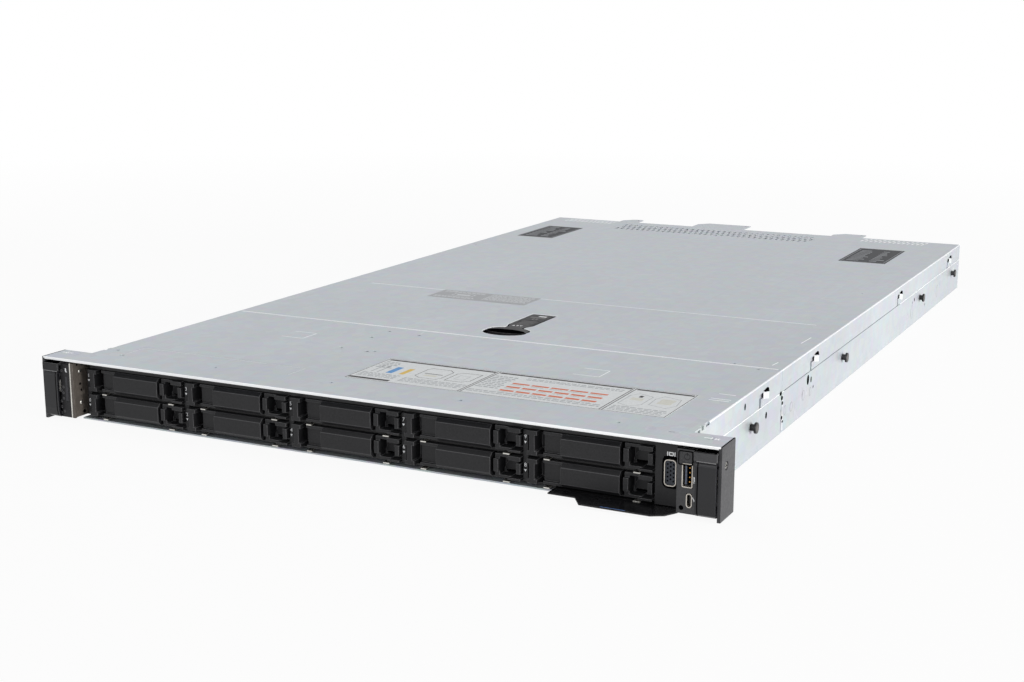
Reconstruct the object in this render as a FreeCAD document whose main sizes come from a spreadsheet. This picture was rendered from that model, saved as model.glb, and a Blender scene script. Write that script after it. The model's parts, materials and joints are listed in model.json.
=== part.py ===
"""One-unit rack server with ten blanked drive bays, built as separate pieces.

Frame: millimetres, X to the right seen from the front, Y to the rear, Z up.
The origin lies on the underside, in the middle, in the plane of the rack posts.
"""
import FreeCAD
import Part
import math
import os
import re
import Sketcher

# Every size has its own name. The sheet holds the same names, and each piece is bound to them.
SIZES = {
    # Overall sizes of a one-unit server for a 19 inch rack
    "body_width": 434.0,
    "body_height": 42.8,
    "body_depth": 751.5,
    "ear_reach": 24.0,
    "front_reach": 22.0,
    # Sheet steel and clearances
    "plate": 1.0,
    "fit_gap": 0.3,
    "seam_gap": 0.4,
    # Tray: floor, lower walls and the upper walls, set in by the cover's flange
    "floor_reach": 13.0,
    "wall_height": 27.7,
    "rail_stud_height": 20.0,
    "rail_stud_shaft": 2.3,
    "rail_stud_head": 3.6,
    "rail_stud_reach": 4.2,
    "rail_stud_head_depth": 1.5,
    "stud_first": 101.7,
    "stud_second": 315.7,
    "stud_third": 576.5,
    "stud_fourth": 715.9,
    "guide_first": 131.0,
    "guide_second": 244.0,
    "guide_third": 502.0,
    "guide_fourth": 706.0,
    "guide_height": 35.0,
    "guide_radius": 1.5,
    # Covers
    "front_plate_back": 9.5,
    "hem_depth": 1.4,
    "hem_drop": 0.8,
    "cover_seam": 165.0,
    "cover_travel": 12.0,
    "cover_drop": 0.15,
    "vent_left": -130.0,
    "vent_front": 701.0,
    "vent_width": 2.6,
    "vent_length": 9.0,
    "vent_pitch": 5.8,
    "vent_row_pitch": 11.8,
    # Cover latch
    "latch_middle": 1.8,
    "latch_head_front": 184.0,
    "latch_head_half": 15.8,
    "latch_head_depth": 21.0,
    "latch_arm_width": 18.0,
    "latch_length": 72.0,
    "latch_pivot_reach": 66.0,
    "latch_pivot_height": 38.4,
    "latch_pin_radius": 1.5,
    "latch_running_gap": 0.08,
    "latch_rim": 2.4,
    "lock_slot_width": 0.8,
    "latch_neck_width": 12.6,
    "latch_neck_end": 24.0,
    "latch_flare_end": 31.0,
    "latch_hollow": 1.0,
    "latch_thickness": 2.4,
    "latch_finger_length": 8.4,
    "latch_finger_thickness": 3.0,
    "latch_finger_width": 6.0,
    "latch_surround": 1.2,
    "latch_finger_room": 6.0,
    "pan_depth": 8.0,
    "lock_radius": 2.6,
    "lock_reach": 55.0,
    "striker_width": 14.0,
    "striker_thickness": 1.5,
    "striker_foot": 10.5,
    "striker_gap": 0.6,
    # Ears
    "ear_sheet": 1.0,
    "ear_plate": 2.0,
    "ear_leg_back": 28.0,
    "ear_leg_front": 20.0,
    "rack_hole_inset": 8.45,
    "rack_hole_radius": 3.3,
    "rack_screw_radius": 2.7,
    "rack_screw_head": 4.4,
    "rack_screw_length": 8.0,
    "rack_screw_head_depth": 5.0,
    "rack_ferrule_wall": 0.6,
    "rack_ferrule_length": 4.0,
    # Ear housings and the quick latches beside them
    "housing_wall": 1.2,
    "housing_front": 21.5,
    "housing_reach": 9.4,
    "housing_bottom": 2.3,
    "housing_top": 40.0,
    "bezel_lap": 0.8,
    "slam_front": 24.4,
    "slam_skin": 1.6,
    "slam_bottom": 2.4,
    "slam_pivot_place": 21.8,
    "slam_pivot_height": 31.4,
    "slam_pin_radius": 1.0,
    "slam_running_gap": 0.06,
    "slam_eye_radius": 2.5,
    "cap_top": 39.5,
    "cap_gap": 0.35,
    # Controls and ports at the front
    "button_width": 7.2,
    "button_height": 5.6,
    "button_offset": 4.2,
    "button_level": 35.0,
    "button_proud": 0.5,
    "button_gap": 0.2,
    "button_flange": 0.6,
    "port_shell": 0.5,
    "port_offset": 4.3,
    "port_insert_depth": 1.5,
    "usb_a_width": 6.2,
    "usb_a_height": 13.7,
    "usb_a_level": 24.2,
    "usb_a_depth": 13.0,
    "usb_c_width": 3.4,
    "usb_c_height": 8.2,
    "usb_c_offset": 5.6,
    "usb_c_level": 10.1,
    "usb_c_depth": 9.0,
    "port_front": 20.6,
    "light_width": 2.0,
    "light_height": 16.0,
    "light_level": 14.5,
    "vga_width": 7.2,
    "vga_height": 15.4,
    "vga_inset": 8.8,
    "vga_length": 8.0,
    "vga_level": 23.6,
    "vga_reach": 18.4,
    "vga_panel_front": 14.2,
    # Drive bays and their blanks
    "bay_margin": 9.7,
    "bay_spare": 24.0,
    "row_pitch": 17.05,
    "first_row": 3.95,
    "bay_divider": 4.2,
    "blank_height": 14.6,
    "blank_front": 16.0,
    "blank_face": 13.4,
    "blank_plate": 11.4,
    "plate_lip": 1.8,
    "blank_back": 4.0,
    "blank_wall": 1.3,
    "blank_depth": 64.0,
    "post_width": 6.5,
    "post_web": 3.5,
    "post_flange": 2.6,
    "slot_width": 3.1,
    "bar_start": 21.7,
    "bar_chamfer": 2.4,
    "bar_slot": 2.0,
    "small_post_width": 3.1,
    "pocket_width": 11.7,
    "tab_width": 2.7,
    "tab_rise": 4.1,
    "post_foot": 4.0,
    "post_setback": 0.4,
    "post_height": 7.8,
    "hood_drop": 2.6,
    "scoop_depth": 1.3,
    "scoop_rise": 10.4,
    "tab_height": 6.6,
    "lip_width": 10.6,
    "rail_width": 2.0,
    # Drive cage and backplane
    "cage_sheet": 0.9,
    "cage_front": 10.0,
    "cage_back": 110.0,
    "intake_front": 12.0,
    "intake_pitch": 6.6,
    "intake_slot": 4.4,
    "intake_slot_height": 2.4,
    "board_thickness": 1.6,
    "backplane_place": 118.0,
    "backplane_height": 36.0,
    "drive_plug_width": 33.0,
    "drive_plug_height": 5.0,
    "drive_plug_depth": 6.0,
    # Information tag
    "tag_thickness": 1.0,
    "tag_width": 78.6,
    "tag_inset": 1.4,
    "tag_front": 32.0,
    "tag_shoulder": 21.7,
    "tag_length": 92.0,
    "tag_grip_start": 17.0,
    "tag_grip_end": 4.6,
    "tag_grip_taper": 7.0,
    "tag_grip_corner": 4.0,
    "tag_corner": 2.0,
    # Cooling fans
    "fan_size": 40.0,
    "fan_depth": 56.0,
    "fan_spare": 18.0,
    "cage_lead": 5.0,
    "fan_front": 281.0,
    "fan_bore": 18.6,
    "fan_hub": 8.5,
    "fan_blade_radius": 17.6,
    "fan_blade_thickness": 1.0,
    "fan_blade_depth": 15.0,
    "fan_hub_depth": 20.0,
    "fan_lead": 6.0,
    "fan_shaft": 1.5,
    "fan_shaft_room": 0.2,
    "fan_strut": 2.0,
    "fan_motor_depth": 8.0,
    "fan_guard": 2.0,
    # System board, processors, heat sinks and memory
    "board_height": 4.0,
    "board_lead": 7.0,
    "standoff_inset": 7.0,
    "board_step_gap": 5.3,
    "board_back_gap": 3.3,
    "board_supply_gap": 5.0,
    "board_side_gap": 3.0,
    "processor_side": 105.0,
    "processor_lead": 71.0,
    "processor_width": 62.0,
    "processor_length": 82.0,
    "processor_height": 6.4,
    "sink_width": 80.0,
    "sink_length": 112.0,
    "sink_base": 3.0,
    "sink_top": 37.6,
    "fin_thickness": 0.8,
    "fin_pitch": 4.4,
    "module_length": 133.3,
    "module_thickness": 1.3,
    "module_top": 37.4,
    "module_pitch": 7.6,
    "module_start": 46.0,
    "socket_width": 6.2,
    "socket_height": 7.0,
    "socket_length": 142.0,
    "shroud_top": 40.0,
    "shroud_wall": 1.2,
    "shroud_length": 146.0,
    "shroud_window": 60.0,
    # Rear wall, ports and riser cages
    "rear_inset": 15.2,
    "rear_wall_height": 21.0,
    "riser_top": 41.0,
    "riser_length": 161.3,
    "tongue_reach": 46.0,
    "tongue_middle_reach": 55.0,
    "tongue_taper": 10.0,
    "tongue_hole": 3.0,
    "riser_gap": 4.0,
    "card_slot_pitch": 16.0,
    "card_slot_width": 12.0,
    "card_slot_margin": 10.0,
    "card_slot_rise": 5.0,
    "card_slot_drop": 6.0,
    "left_riser_inner": 78.0,
    "middle_riser_right": 30.0,
    "left_tongue_width": 20.0,
    "middle_tongue_left": 66.0,
    "middle_tongue_right": 10.0,
    "right_tongue_left": 85.0,
    "right_tongue_right": 117.0,
    "jack_width": 15.8,
    "jack_height": 13.4,
    "jack_depth": 21.0,
    "jack_mouth_width": 12.0,
    "jack_mouth_height": 9.0,
    "jack_mouth_depth": 13.0,
    "jack_proud": 1.0,
    # Power supplies
    "supply_width": 60.0,
    "supply_height": 39.6,
    "supply_length": 185.0,
    "supply_inset": 3.0,
    "supply_fan_bore": 14.0,
    "supply_fan_depth": 26.0,
    "supply_fan_middle": 17.5,
    "supply_blade_radius": 13.4,
    "supply_hub": 6.0,
    "supply_guard": 1.4,
    "inlet_width": 23.0,
    "inlet_height": 16.0,
    "inlet_depth": 15.0,
    "inlet_middle": 45.5,
    "inlet_pin_length": 11.0,
    "handle_reach": 50.7,
    "handle_width": 30.0,
    "handle_thickness": 4.0,
    "supply_latch_length": 16.0,
    "supply_latch_height": 12.0,
    "supply_latch_thickness": 2.2,
    "supply_latch_eye": 2.0,
    "supply_latch_pin": 0.95,
    "supply_latch_inset": 2.6,
    "supply_lug_thickness": 2.5,
    "supply_lug_width": 5.2,
    "supply_lug_reach": 5.0,
    "supply_latch_pad_width": 2.2,
    "supply_latch_pad_length": 3.0,
    "supply_rotor_lead": 4.0,
    "bay_wall_gap": 1.0,
}

# Counts of what repeats
COLUMNS = 5
ROWS = 2
FANS = 8
FAN_BLADES = 5
BLADE_LEAN = 40.0
VENT_COLUMNS = 36
VENT_ROWS = 3
LENS_STEPS = 28
MODULES_PER_BANK = 8
FINS = 18

# Places and sizes that follow from the ones above
DERIVED = {
    "ear_width": "body_width + 2*ear_reach",
    "rack_hole_spacing": "body_width + 2*ear_reach - 2*rack_hole_inset",
    "housing_right": "body_width/2 + housing_reach",
    "button_middle": "body_width/2 + button_offset",
    "port_middle": "body_width/2 + port_offset",
    "usb_c_middle": "body_width/2 + usb_c_offset",
    "vga_middle": "body_width/2 - vga_inset",
    "bays_left": "-body_width/2 + bay_margin",
    "bay_pitch": "(body_width - bay_spare)/%d" % COLUMNS,
    "blank_width": "bay_pitch - bay_divider",
    "bar_width": "blank_width - bar_start - bar_slot - small_post_width - pocket_width - tab_width",
    "tag_right": "body_width/2 - tag_inset",
    "tag_left": "tag_right - tag_width",
    "tag_grip_left": "tag_left + tag_grip_start",
    "tag_grip_right": "tag_right - tag_grip_end",
    "fan_pitch": "(body_width - fan_spare)/%d" % FANS,
    "rear_face": "body_depth - rear_inset",
    "board_front": "fan_front + fan_depth + board_lead",
    "board_step": "rear_face - supply_length - board_step_gap",
    "board_back": "rear_face - board_back_gap",
    "board_rear_half_width": "body_width/2 - supply_inset - supply_width - board_supply_gap",
    "processor_middle": "board_front + processor_lead",
    "riser_front": "rear_face - riser_length",
    "riser_outer": "board_rear_half_width + 2*plate",
    "left_riser_width": "riser_outer - left_riser_inner",
    "middle_riser_width": "left_riser_inner - riser_gap + middle_riser_right",
    "right_riser_width": "riser_outer - middle_riser_right - riser_gap",
    "supply_outer": "body_width/2 - supply_inset",
    "latch_end": "latch_head_front + latch_length",
    "latch_pivot_place": "latch_head_front + latch_pivot_reach",
    "lock_place": "latch_head_front + lock_reach",
    "cover_top": "body_height - cover_drop",
}

doc = FreeCAD.newDocument("rack_server")
sheet = doc.addObject("Spreadsheet::Sheet", "dims")
cells = [(alias, str(number)) for alias, number in SIZES.items()]
cells += [(alias, "=" + formula) for alias, formula in DERIVED.items()]
for line, (alias, content) in enumerate(cells, start=1):
    sheet.set("A%d" % line, alias)
    sheet.set("B%d" % line, content)
    sheet.setAlias("B%d" % line, alias)
doc.recompute()

WORD = re.compile(r"[a-z][a-z_]+")
PLANES = {"XY": "XY_Plane", "XZ": "XZ_Plane", "YZ": "YZ_Plane"}
TURNS = {
    "x": FreeCAD.Rotation(FreeCAD.Vector(0, 1, 0), 90),
    "y": FreeCAD.Rotation(FreeCAD.Vector(1, 0, 0), -90),
    "z": FreeCAD.Rotation(),
}
nodes = []


def bound(text):
    """Turn a formula in plain names into one that reads the sheet."""
    known = set(SIZES) | set(DERIVED)
    return WORD.sub(lambda word: "dims." + word.group() if word.group() in known else word.group(), str(text))


def size(name):
    """The value that the sheet holds for one name."""
    return float(sheet.get(name))


def node(name, piece):
    """Mark a finished piece as a sub-part of its own."""
    piece.Label = name
    nodes.append(piece)
    return piece


def block(name, x, y, z):
    """A box between two places along each axis."""
    box = doc.addObject("Part::Box", name)
    for axis, (low, high), length in zip("xyz", (x, y, z), ("Length", "Width", "Height")):
        box.setExpression(".Placement.Base." + axis, bound(low))
        box.setExpression(length, bound("(%s) - (%s)" % (high, low)))
    return box


def rod(name, axis, centre, span, radius, sides=0):
    """A cylinder, or a prism of so many sides, along an axis and between two places on it."""
    solid = doc.addObject("Part::Prism" if sides else "Part::Cylinder", name)
    solid.Placement.Rotation = TURNS[axis]
    across = [letter for letter in "xyz" if letter != axis]
    for letter, place in zip(across, centre):
        solid.setExpression(".Placement.Base." + letter, bound(place))
    solid.setExpression(".Placement.Base." + axis, bound(span[0]))
    solid.setExpression("Height", bound("(%s) - (%s)" % (span[1], span[0])))
    if sides:
        solid.Polygon = sides
    solid.setExpression("Circumradius" if sides else "Radius", bound(radius))
    return solid


def profile(name, plane, points, low, high):
    """A closed outline on a plane, padded between two places across it."""
    body = doc.addObject("PartDesign::Body", name)
    sketch = body.newObject("Sketcher::SketchObject", name + "_outline")
    origin_plane = [item for item in body.Origin.OriginFeatures if item.Role == PLANES[plane]][0]
    sketch.AttachmentSupport = (origin_plane, "")
    sketch.MapMode = "FlatFace"
    start = "-(%s)" % high if plane == "XZ" else low
    sketch.setExpression(".AttachmentOffset.Base.z", bound(start))
    draw_outline(sketch, points)
    pad = body.newObject("PartDesign::Pad", name + "_pad")
    pad.Profile = sketch
    pad.setExpression("Length", bound("(%s) - (%s)" % (high, low)))
    sketch.Visibility = False
    return body


def draw_outline(sketch, points):
    """Straight edges through the points, each point held by two sizes from the origin."""
    count = len(points)
    for number in range(count):
        here = FreeCAD.Vector(number, number * number, 0)
        there = FreeCAD.Vector(number + 1, (number + 1) ** 2, 0)
        sketch.addGeometry(Part.LineSegment(here, there))
    for number in range(count):
        following = (number + 1) % count
        sketch.addConstraint(Sketcher.Constraint("Coincident", number, 2, following, 1))
    for number, (across, up) in enumerate(points):
        for kind, place in (("DistanceX", across), ("DistanceY", up)):
            index = sketch.addConstraint(Sketcher.Constraint(kind, -1, 1, number, 1, 1.0))
            sketch.setExpression("Constraints[%d]" % index, bound(place))


def fuse(name, pieces):
    """One solid from pieces that touch or overlap."""
    joined = doc.addObject("Part::MultiFuse", name)
    joined.Shapes = pieces
    joined.Refine = True
    return joined


def group(name, pieces):
    """Separate solids kept together."""
    together = doc.addObject("Part::Compound", name)
    together.Links = pieces
    return together


def cut(name, base, tools):
    """A piece less its tools, which stay clear of each other."""
    cutter = tools[0] if len(tools) == 1 else group(name + "_tools", tools)
    remainder = doc.addObject("Part::Cut", name)
    remainder.Base = base
    remainder.Tool = cutter
    return remainder


def copy_at(name, source, x="0", y="0", z="0"):
    """The same piece again, moved along each axis."""
    copied = doc.addObject("Part::Compound", name)
    copied.Links = [source]
    for axis, place in zip("xyz", (x, y, z)):
        copied.setExpression(".Placement.Base." + axis, bound(place))
    return copied


def mirrored(name, source):
    """The same piece on the other side of the middle plane."""
    image = doc.addObject("Part::Mirroring", name)
    image.Source = source
    image.Normal = FreeCAD.Vector(1, 0, 0)
    return image


# Places that several pieces share
HALF = "body_width/2"
WALL_INNER = "(body_width/2 - plate)"
UPPER_OUTER = "(body_width/2 - plate - fit_gap)"
UPPER_INNER = "(body_width/2 - 2*plate - fit_gap)"
TOP_UNDER = "(body_height - plate)"
FLANGE_LOW = "(wall_height + fit_gap)"
EAR_EDGE = "ear_width/2"
CAGE_LEFT = "(bays_left - fit_gap - cage_sheet)"
BAYS_RIGHT = "(bays_left + %d*bay_pitch + blank_width)" % (COLUMNS - 1)
CAGE_RIGHT = "(" + BAYS_RIGHT + " + fit_gap + cage_sheet)"
CAGE_FLOOR = "(first_row - fit_gap - cage_sheet)"
CAGE_ROOF = "(first_row + row_pitch + blank_height + fit_gap)"
PAN_FRONT = "(latch_head_front - latch_finger_room)"
LATCH_TOP = "(body_height - 0.2*plate)"
STRIKER_BACK = "(latch_pivot_place - latch_finger_thickness/2 - striker_gap)"
STRIKER_FRONT = "(" + STRIKER_BACK + " - striker_thickness)"
BOARD_TOP = "(board_height + board_thickness)"
FAN_AXIS = "(plate + fan_size/2)"


def chassis_tray():
    """Folded tray: floor, lower side walls and upper walls set in for the covers' flanges."""
    section = [
        ("-" + HALF, "0"), (HALF, "0"),
        (HALF, "wall_height"), (UPPER_OUTER, "wall_height"),
        (UPPER_OUTER, TOP_UNDER), (UPPER_INNER, TOP_UNDER),
        (UPPER_INNER, "wall_height - plate"), (WALL_INNER, "wall_height - plate"),
        (WALL_INNER, "plate"), ("-" + WALL_INNER, "plate"),
        ("-" + WALL_INNER, "wall_height - plate"), ("-" + UPPER_INNER, "wall_height - plate"),
        ("-" + UPPER_INNER, TOP_UNDER), ("-" + UPPER_OUTER, TOP_UNDER),
        ("-" + UPPER_OUTER, "wall_height"), ("-" + HALF, "wall_height"),
    ]
    channel = profile("tray_channel", "XZ", section, "0", "body_depth")
    front_floor = block("tray_front_floor", ("-" + WALL_INNER, WALL_INNER), ("-floor_reach", "plate"),
                        ("0", "plate"))
    striker = block(
        "latch_striker",
        ("latch_middle - striker_width/2", "latch_middle + striker_width/2"),
        (STRIKER_FRONT, STRIKER_BACK),
        ("plate/2", "latch_pivot_height - latch_pin_radius - 2*plate"),
    )
    striker_foot = block(
        "latch_striker_foot",
        ("latch_middle - striker_width/2", "latch_middle + striker_width/2"),
        (STRIKER_FRONT + " - striker_foot", STRIKER_BACK),
        ("plate/2", "2*plate"),
    )
    return node("chassis_tray", fuse("tray", [channel, front_floor, striker, striker_foot]))


def side_studs():
    """Dark shoulder studs for the rails, and the guide pins that the covers hook over."""
    pieces = []
    for number, place in enumerate(("stud_first", "stud_second", "stud_third", "stud_fourth")):
        centre = (place, "rail_stud_height")
        head_start = HALF + " + rail_stud_reach - rail_stud_head_depth"
        shaft = rod("stud_shaft_%d" % number, "x", centre, (HALF, head_start), "rail_stud_shaft", 8)
        head = rod("stud_head_%d" % number, "x", centre, (head_start, HALF + " + rail_stud_reach"),
                   "rail_stud_head", 16)
        stud = fuse("stud_%d" % number, [shaft, head])
        pieces += [stud, mirrored("stud_left_%d" % number, stud)]
    for number, place in enumerate(("guide_first", "guide_second", "guide_third", "guide_fourth")):
        pin = rod("guide_%d" % number, "x", (place, "guide_height"), (UPPER_OUTER, HALF), "guide_radius", 8)
        pieces += [pin, mirrored("guide_left_%d" % number, pin)]
    return node("side_studs", group("studs", pieces))


def hook_slot(name, place):
    """The bent slot in a flange that lets a cover slide back and then lift off its pin."""
    room = "(guide_radius + fit_gap)"
    reach = ("-" + EAR_EDGE, EAR_EDGE)
    run = block(name + "_run", reach, ("%s - cover_travel - %s" % (place, room), "%s + %s" % (place, room)),
                ("guide_height - " + room, "guide_height + " + room))
    leg = block(name + "_leg", reach,
                ("%s - cover_travel - %s" % (place, room), "%s - cover_travel + %s" % (place, room)),
                (FLANGE_LOW + " - plate", "guide_height"))
    return fuse(name, [run, leg])


def cover_sheets(name, front, back):
    """A folded cover's sheets, parted at the folds' mitres: its top and its right flange."""
    top = profile(name + "_top", "XZ", [
        ("-" + WALL_INNER, TOP_UNDER), (WALL_INNER, TOP_UNDER), (HALF, "cover_top"),
        ("-" + HALF, "cover_top"),
    ], front, back)
    flange = profile(name + "_flange", "XZ", [
        (WALL_INNER, TOP_UNDER), (WALL_INNER, FLANGE_LOW), (HALF, FLANGE_LOW), (HALF, "cover_top"),
    ], front, back)
    return top, flange


def front_plate():
    """The strip across both ears, with its front edge hemmed."""
    outline = [
        ("-" + EAR_EDGE, "-front_reach"), (EAR_EDGE, "-front_reach"),
        (EAR_EDGE, "0"), (HALF, "0"), (HALF, "front_plate_back"),
        ("-" + HALF, "front_plate_back"), ("-" + HALF, "0"), ("-" + EAR_EDGE, "0"),
    ]
    top = profile("front_strip", "XY", outline, TOP_UNDER, "body_height")
    hem = block("front_hem", ("-" + EAR_EDGE + " + ear_plate", EAR_EDGE + " - ear_plate"),
                ("-front_reach", "-front_reach + hem_depth"),
                (TOP_UNDER + " - hem_drop", TOP_UNDER + " + plate/2"))
    return node("front_plate", fuse("front_strip_hemmed", [top, hem]))


def bay_cover():
    """The fixed cover over the drive bays."""
    top, flange = cover_sheets("bay", "front_plate_back + seam_gap/2", "cover_seam - seam_gap/2")
    slotted = cut("bay_flange_slotted", flange, [hook_slot("bay_hook", "guide_first")])
    return node("bay_cover", group("bay_cover_folded", [top, slotted, mirrored("bay_flange_left", slotted)]))


def lens(name, centre, grow, low, high):
    """The plan form of the latch's head, an oval grown by an even margin."""
    points = []
    for number in range(LENS_STEPS):
        turn = 2 * math.pi * (number + 0.5) / LENS_STEPS
        points.append(("latch_middle + %.5f*(latch_head_half + %s)" % (math.cos(turn), grow),
                       "%s + %.5f*(latch_head_depth/2 + %s)" % (centre, math.sin(turn), grow)))
    return profile(name, "XY", points, low, high)


def latch_outline(name, grow, low, high):
    """The latch's plan form: an oval head, a neck and a wider arm behind it, grown by an even margin."""
    centre = "(latch_head_front + latch_head_depth/2)"
    head = lens(name + "_head", centre, grow, low, high)
    right = [
        ("latch_neck_width/2", centre), ("latch_neck_width/2", "latch_head_front + latch_neck_end"),
        ("latch_arm_width/2", "latch_head_front + latch_flare_end"),
        ("latch_arm_width/2", "latch_end + " + grow),
    ]
    points = [("latch_middle + %s + %s" % (across, grow), along) for across, along in right]
    points += [("latch_middle - %s - %s" % (across, grow), along) for across, along in reversed(right)]
    return head, profile(name + "_arm", "XY", points, low, high)


def system_cover():
    """The sliding cover, with its latch opening, hook slots and vent field."""
    top, flange = cover_sheets("main", "cover_seam + seam_gap/2", "body_depth")
    through = (TOP_UNDER + " - plate", "body_height + plate")
    head, arm = latch_outline("latch_hole", "latch_surround", *through)
    crescent = lens("crescent_hole", "(latch_head_front + latch_head_depth/2 - latch_finger_room)",
                    "latch_surround", *through)
    slots = [hook_slot("hook_" + place, place) for place in ("guide_second", "guide_third", "guide_fourth")]
    vents = []
    for row in range(VENT_ROWS):
        for column in range(VENT_COLUMNS):
            left = "vent_left + %d*vent_pitch + %g*vent_pitch" % (column, 0.5 * (row % 2))
            front = "vent_front + %d*vent_row_pitch" % row
            vents.append(block("vent_%d_%d" % (row, column), (left, left + " + vent_width"),
                               (front, front + " + vent_length"), through))
    opening = fuse("latch_opening", [head, arm, crescent])
    drilled = cut("main_top_drilled", top, [opening] + vents)
    slotted = cut("main_flange_slotted", flange, slots)
    return node("system_cover",
                group("main_cover_folded", [drilled, slotted, mirrored("main_flange_left", slotted)]))


def latch_pan():
    """The recess under the latch: a shallow pan with a bearing for the latch's pin."""
    low = "(" + TOP_UNDER + " - pan_depth)"
    floor_back = "(" + STRIKER_FRONT + " - cover_travel - plate)"
    left = "(latch_middle - latch_head_half - latch_surround - plate)"
    right = "(latch_middle + latch_head_half + latch_surround + plate)"
    front = "(" + PAN_FRONT + " - latch_surround - plate)"
    floor = block("pan_floor", (left, right), (front, floor_back), (low, low + " + plate"))
    rim_front = block("pan_front", (left, right), (front, front + " + plate"), (low, TOP_UNDER))
    cheek_back = "latch_end + latch_surround"
    cheek_left = block("pan_left", (left, left + " + plate"), (front, cheek_back), (low, TOP_UNDER))
    cheek_right = block("pan_right", (right + " - plate", right), (front, cheek_back), (low, TOP_UNDER))
    pin = rod("pan_pin", "x", ("latch_pivot_place", "latch_pivot_height"),
              (left + " + plate/2", right + " - plate/2"),
              "latch_pin_radius")
    return node("latch_pan", fuse("pan", [floor, rim_front, cheek_left, cheek_right, pin]))


def cover_latch():
    """The flush lever: lifting its round head turns the finger against the striker."""
    low = "(" + LATCH_TOP + " - latch_thickness)"
    head, arm = latch_outline("lever", "0", low, LATCH_TOP)
    eye_radius = "(latch_pin_radius + latch_thickness/2)"
    eye = rod("lever_eye", "x", ("latch_pivot_place", "latch_pivot_height"),
              ("latch_middle - latch_arm_width/2", "latch_middle + latch_arm_width/2"), eye_radius)
    web = block("lever_web", ("latch_middle - latch_arm_width/2", "latch_middle + latch_arm_width/2"),
                ("latch_pivot_place - latch_pin_radius - 1", "latch_pivot_place + latch_pin_radius + 1"),
                ("latch_pivot_height", low + " + latch_thickness/2"))
    finger = block("lever_finger",
                   ("latch_middle - latch_finger_width/2", "latch_middle + latch_finger_width/2"),
                   ("latch_pivot_place - latch_finger_thickness/2",
                    "latch_pivot_place + latch_finger_thickness/2"),
                   ("latch_pivot_height - latch_finger_length", "latch_pivot_height"))
    lever = fuse("lever", [head, arm, eye, web, finger])
    bore = rod("lever_bore", "x", ("latch_pivot_place", "latch_pivot_height"),
               ("latch_middle - latch_arm_width", "latch_middle + latch_arm_width"),
               "latch_pin_radius + latch_running_gap")
    lock_hole = rod("lever_lock_hole", "z", ("latch_middle", "lock_place"),
                    (low + " - 1", LATCH_TOP + " + 1"),
                    "lock_radius + latch_running_gap")
    hollow = block("lever_hollow",
                   ("latch_middle - latch_arm_width/2 + latch_rim",
                    "latch_middle + latch_arm_width/2 - latch_rim"),
                   ("latch_head_front + latch_flare_end", "lock_place - 2*lock_radius"),
                   (LATCH_TOP + " - latch_hollow", LATCH_TOP + " + 1"))
    return node("cover_latch", cut("lever_bored", lever, [bore, lock_hole, hollow]))


def latch_lock():
    """The quarter-turn lock in the lever's arm."""
    low = "(" + LATCH_TOP + " - latch_thickness)"
    barrel = rod("lock_barrel", "z", ("latch_middle", "lock_place"), (low, LATCH_TOP), "lock_radius")
    slot = block("lock_slot", ("latch_middle - lock_slot_width/2", "latch_middle + lock_slot_width/2"),
                 ("lock_place - 0.7*lock_radius", "lock_place + 0.7*lock_radius"),
                 (LATCH_TOP + " - 0.8", LATCH_TOP + " + 1"))
    return node("latch_lock", cut("lock", barrel, [slot]))


def ear_bracket():
    """The right ear: a leg inside the tray, the face on the rack post, and the outer end plate."""
    leg_inner = "(" + WALL_INNER + " - ear_sheet)"
    end_inner = "(" + EAR_EDGE + " - ear_plate)"
    outline = [
        (leg_inner, "-ear_leg_front"), (WALL_INNER, "-ear_leg_front"), (WALL_INNER, "-ear_plate"),
        (end_inner, "-ear_plate"), (end_inner, "-front_reach"), (EAR_EDGE, "-front_reach"),
        (EAR_EDGE, "0"), (WALL_INNER, "0"), (WALL_INNER, "ear_leg_back"), (leg_inner, "ear_leg_back"),
    ]
    folded = profile("ear_fold", "XY", outline, "0", TOP_UNDER)
    pin = rod("slam_pin", "x", ("-slam_pivot_place", "slam_pivot_height"),
              ("housing_right", end_inner + " + 0.5"),
              "slam_pin_radius")
    ear = fuse("ear_with_pin", [folded, pin])
    middle = "body_height/2"
    rack_hole = rod("rack_hole", "y", ("rack_hole_spacing/2", middle), ("-2*ear_plate", "ear_plate"),
                    "rack_hole_radius")
    over_joggle = block("over_joggle", (leg_inner + " - 1", WALL_INNER), ("0", "ear_leg_back + 1"),
                        ("wall_height - plate", "body_height"))
    tag_room = block("tag_room", (leg_inner + " - 1", WALL_INNER),
                     ("-ear_leg_front - 1", "ear_leg_back + 1"), ("-1", CAGE_FLOOR))
    return cut("ear_right", ear, [rack_hole, over_joggle, tag_room])


def rack_screws():
    """The captive screw behind each quick latch, backed out of its hole in its ferrule."""
    centre = ("rack_hole_spacing/2", "body_height/2")
    head_back = "(-ear_plate - rack_screw_length)"
    head = rod("screw_head", "y", centre, (head_back + " - rack_screw_head_depth", head_back),
               "rack_screw_head", 12)
    shaft = rod("screw_shaft", "y", centre, (head_back + " - rack_screw_head_depth/2", "-ear_plate"),
                "rack_screw_radius", 12)
    ferrule = rod("screw_ferrule", "y", centre, ("-ear_plate - rack_ferrule_length", "-ear_plate"),
                  "rack_hole_radius + rack_ferrule_wall", 12)
    screw = fuse("rack_screw", [head, shaft, ferrule])
    return node("rack_screws", group("rack_screw_pair", [screw, mirrored("rack_screw_left", screw)]))


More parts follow.
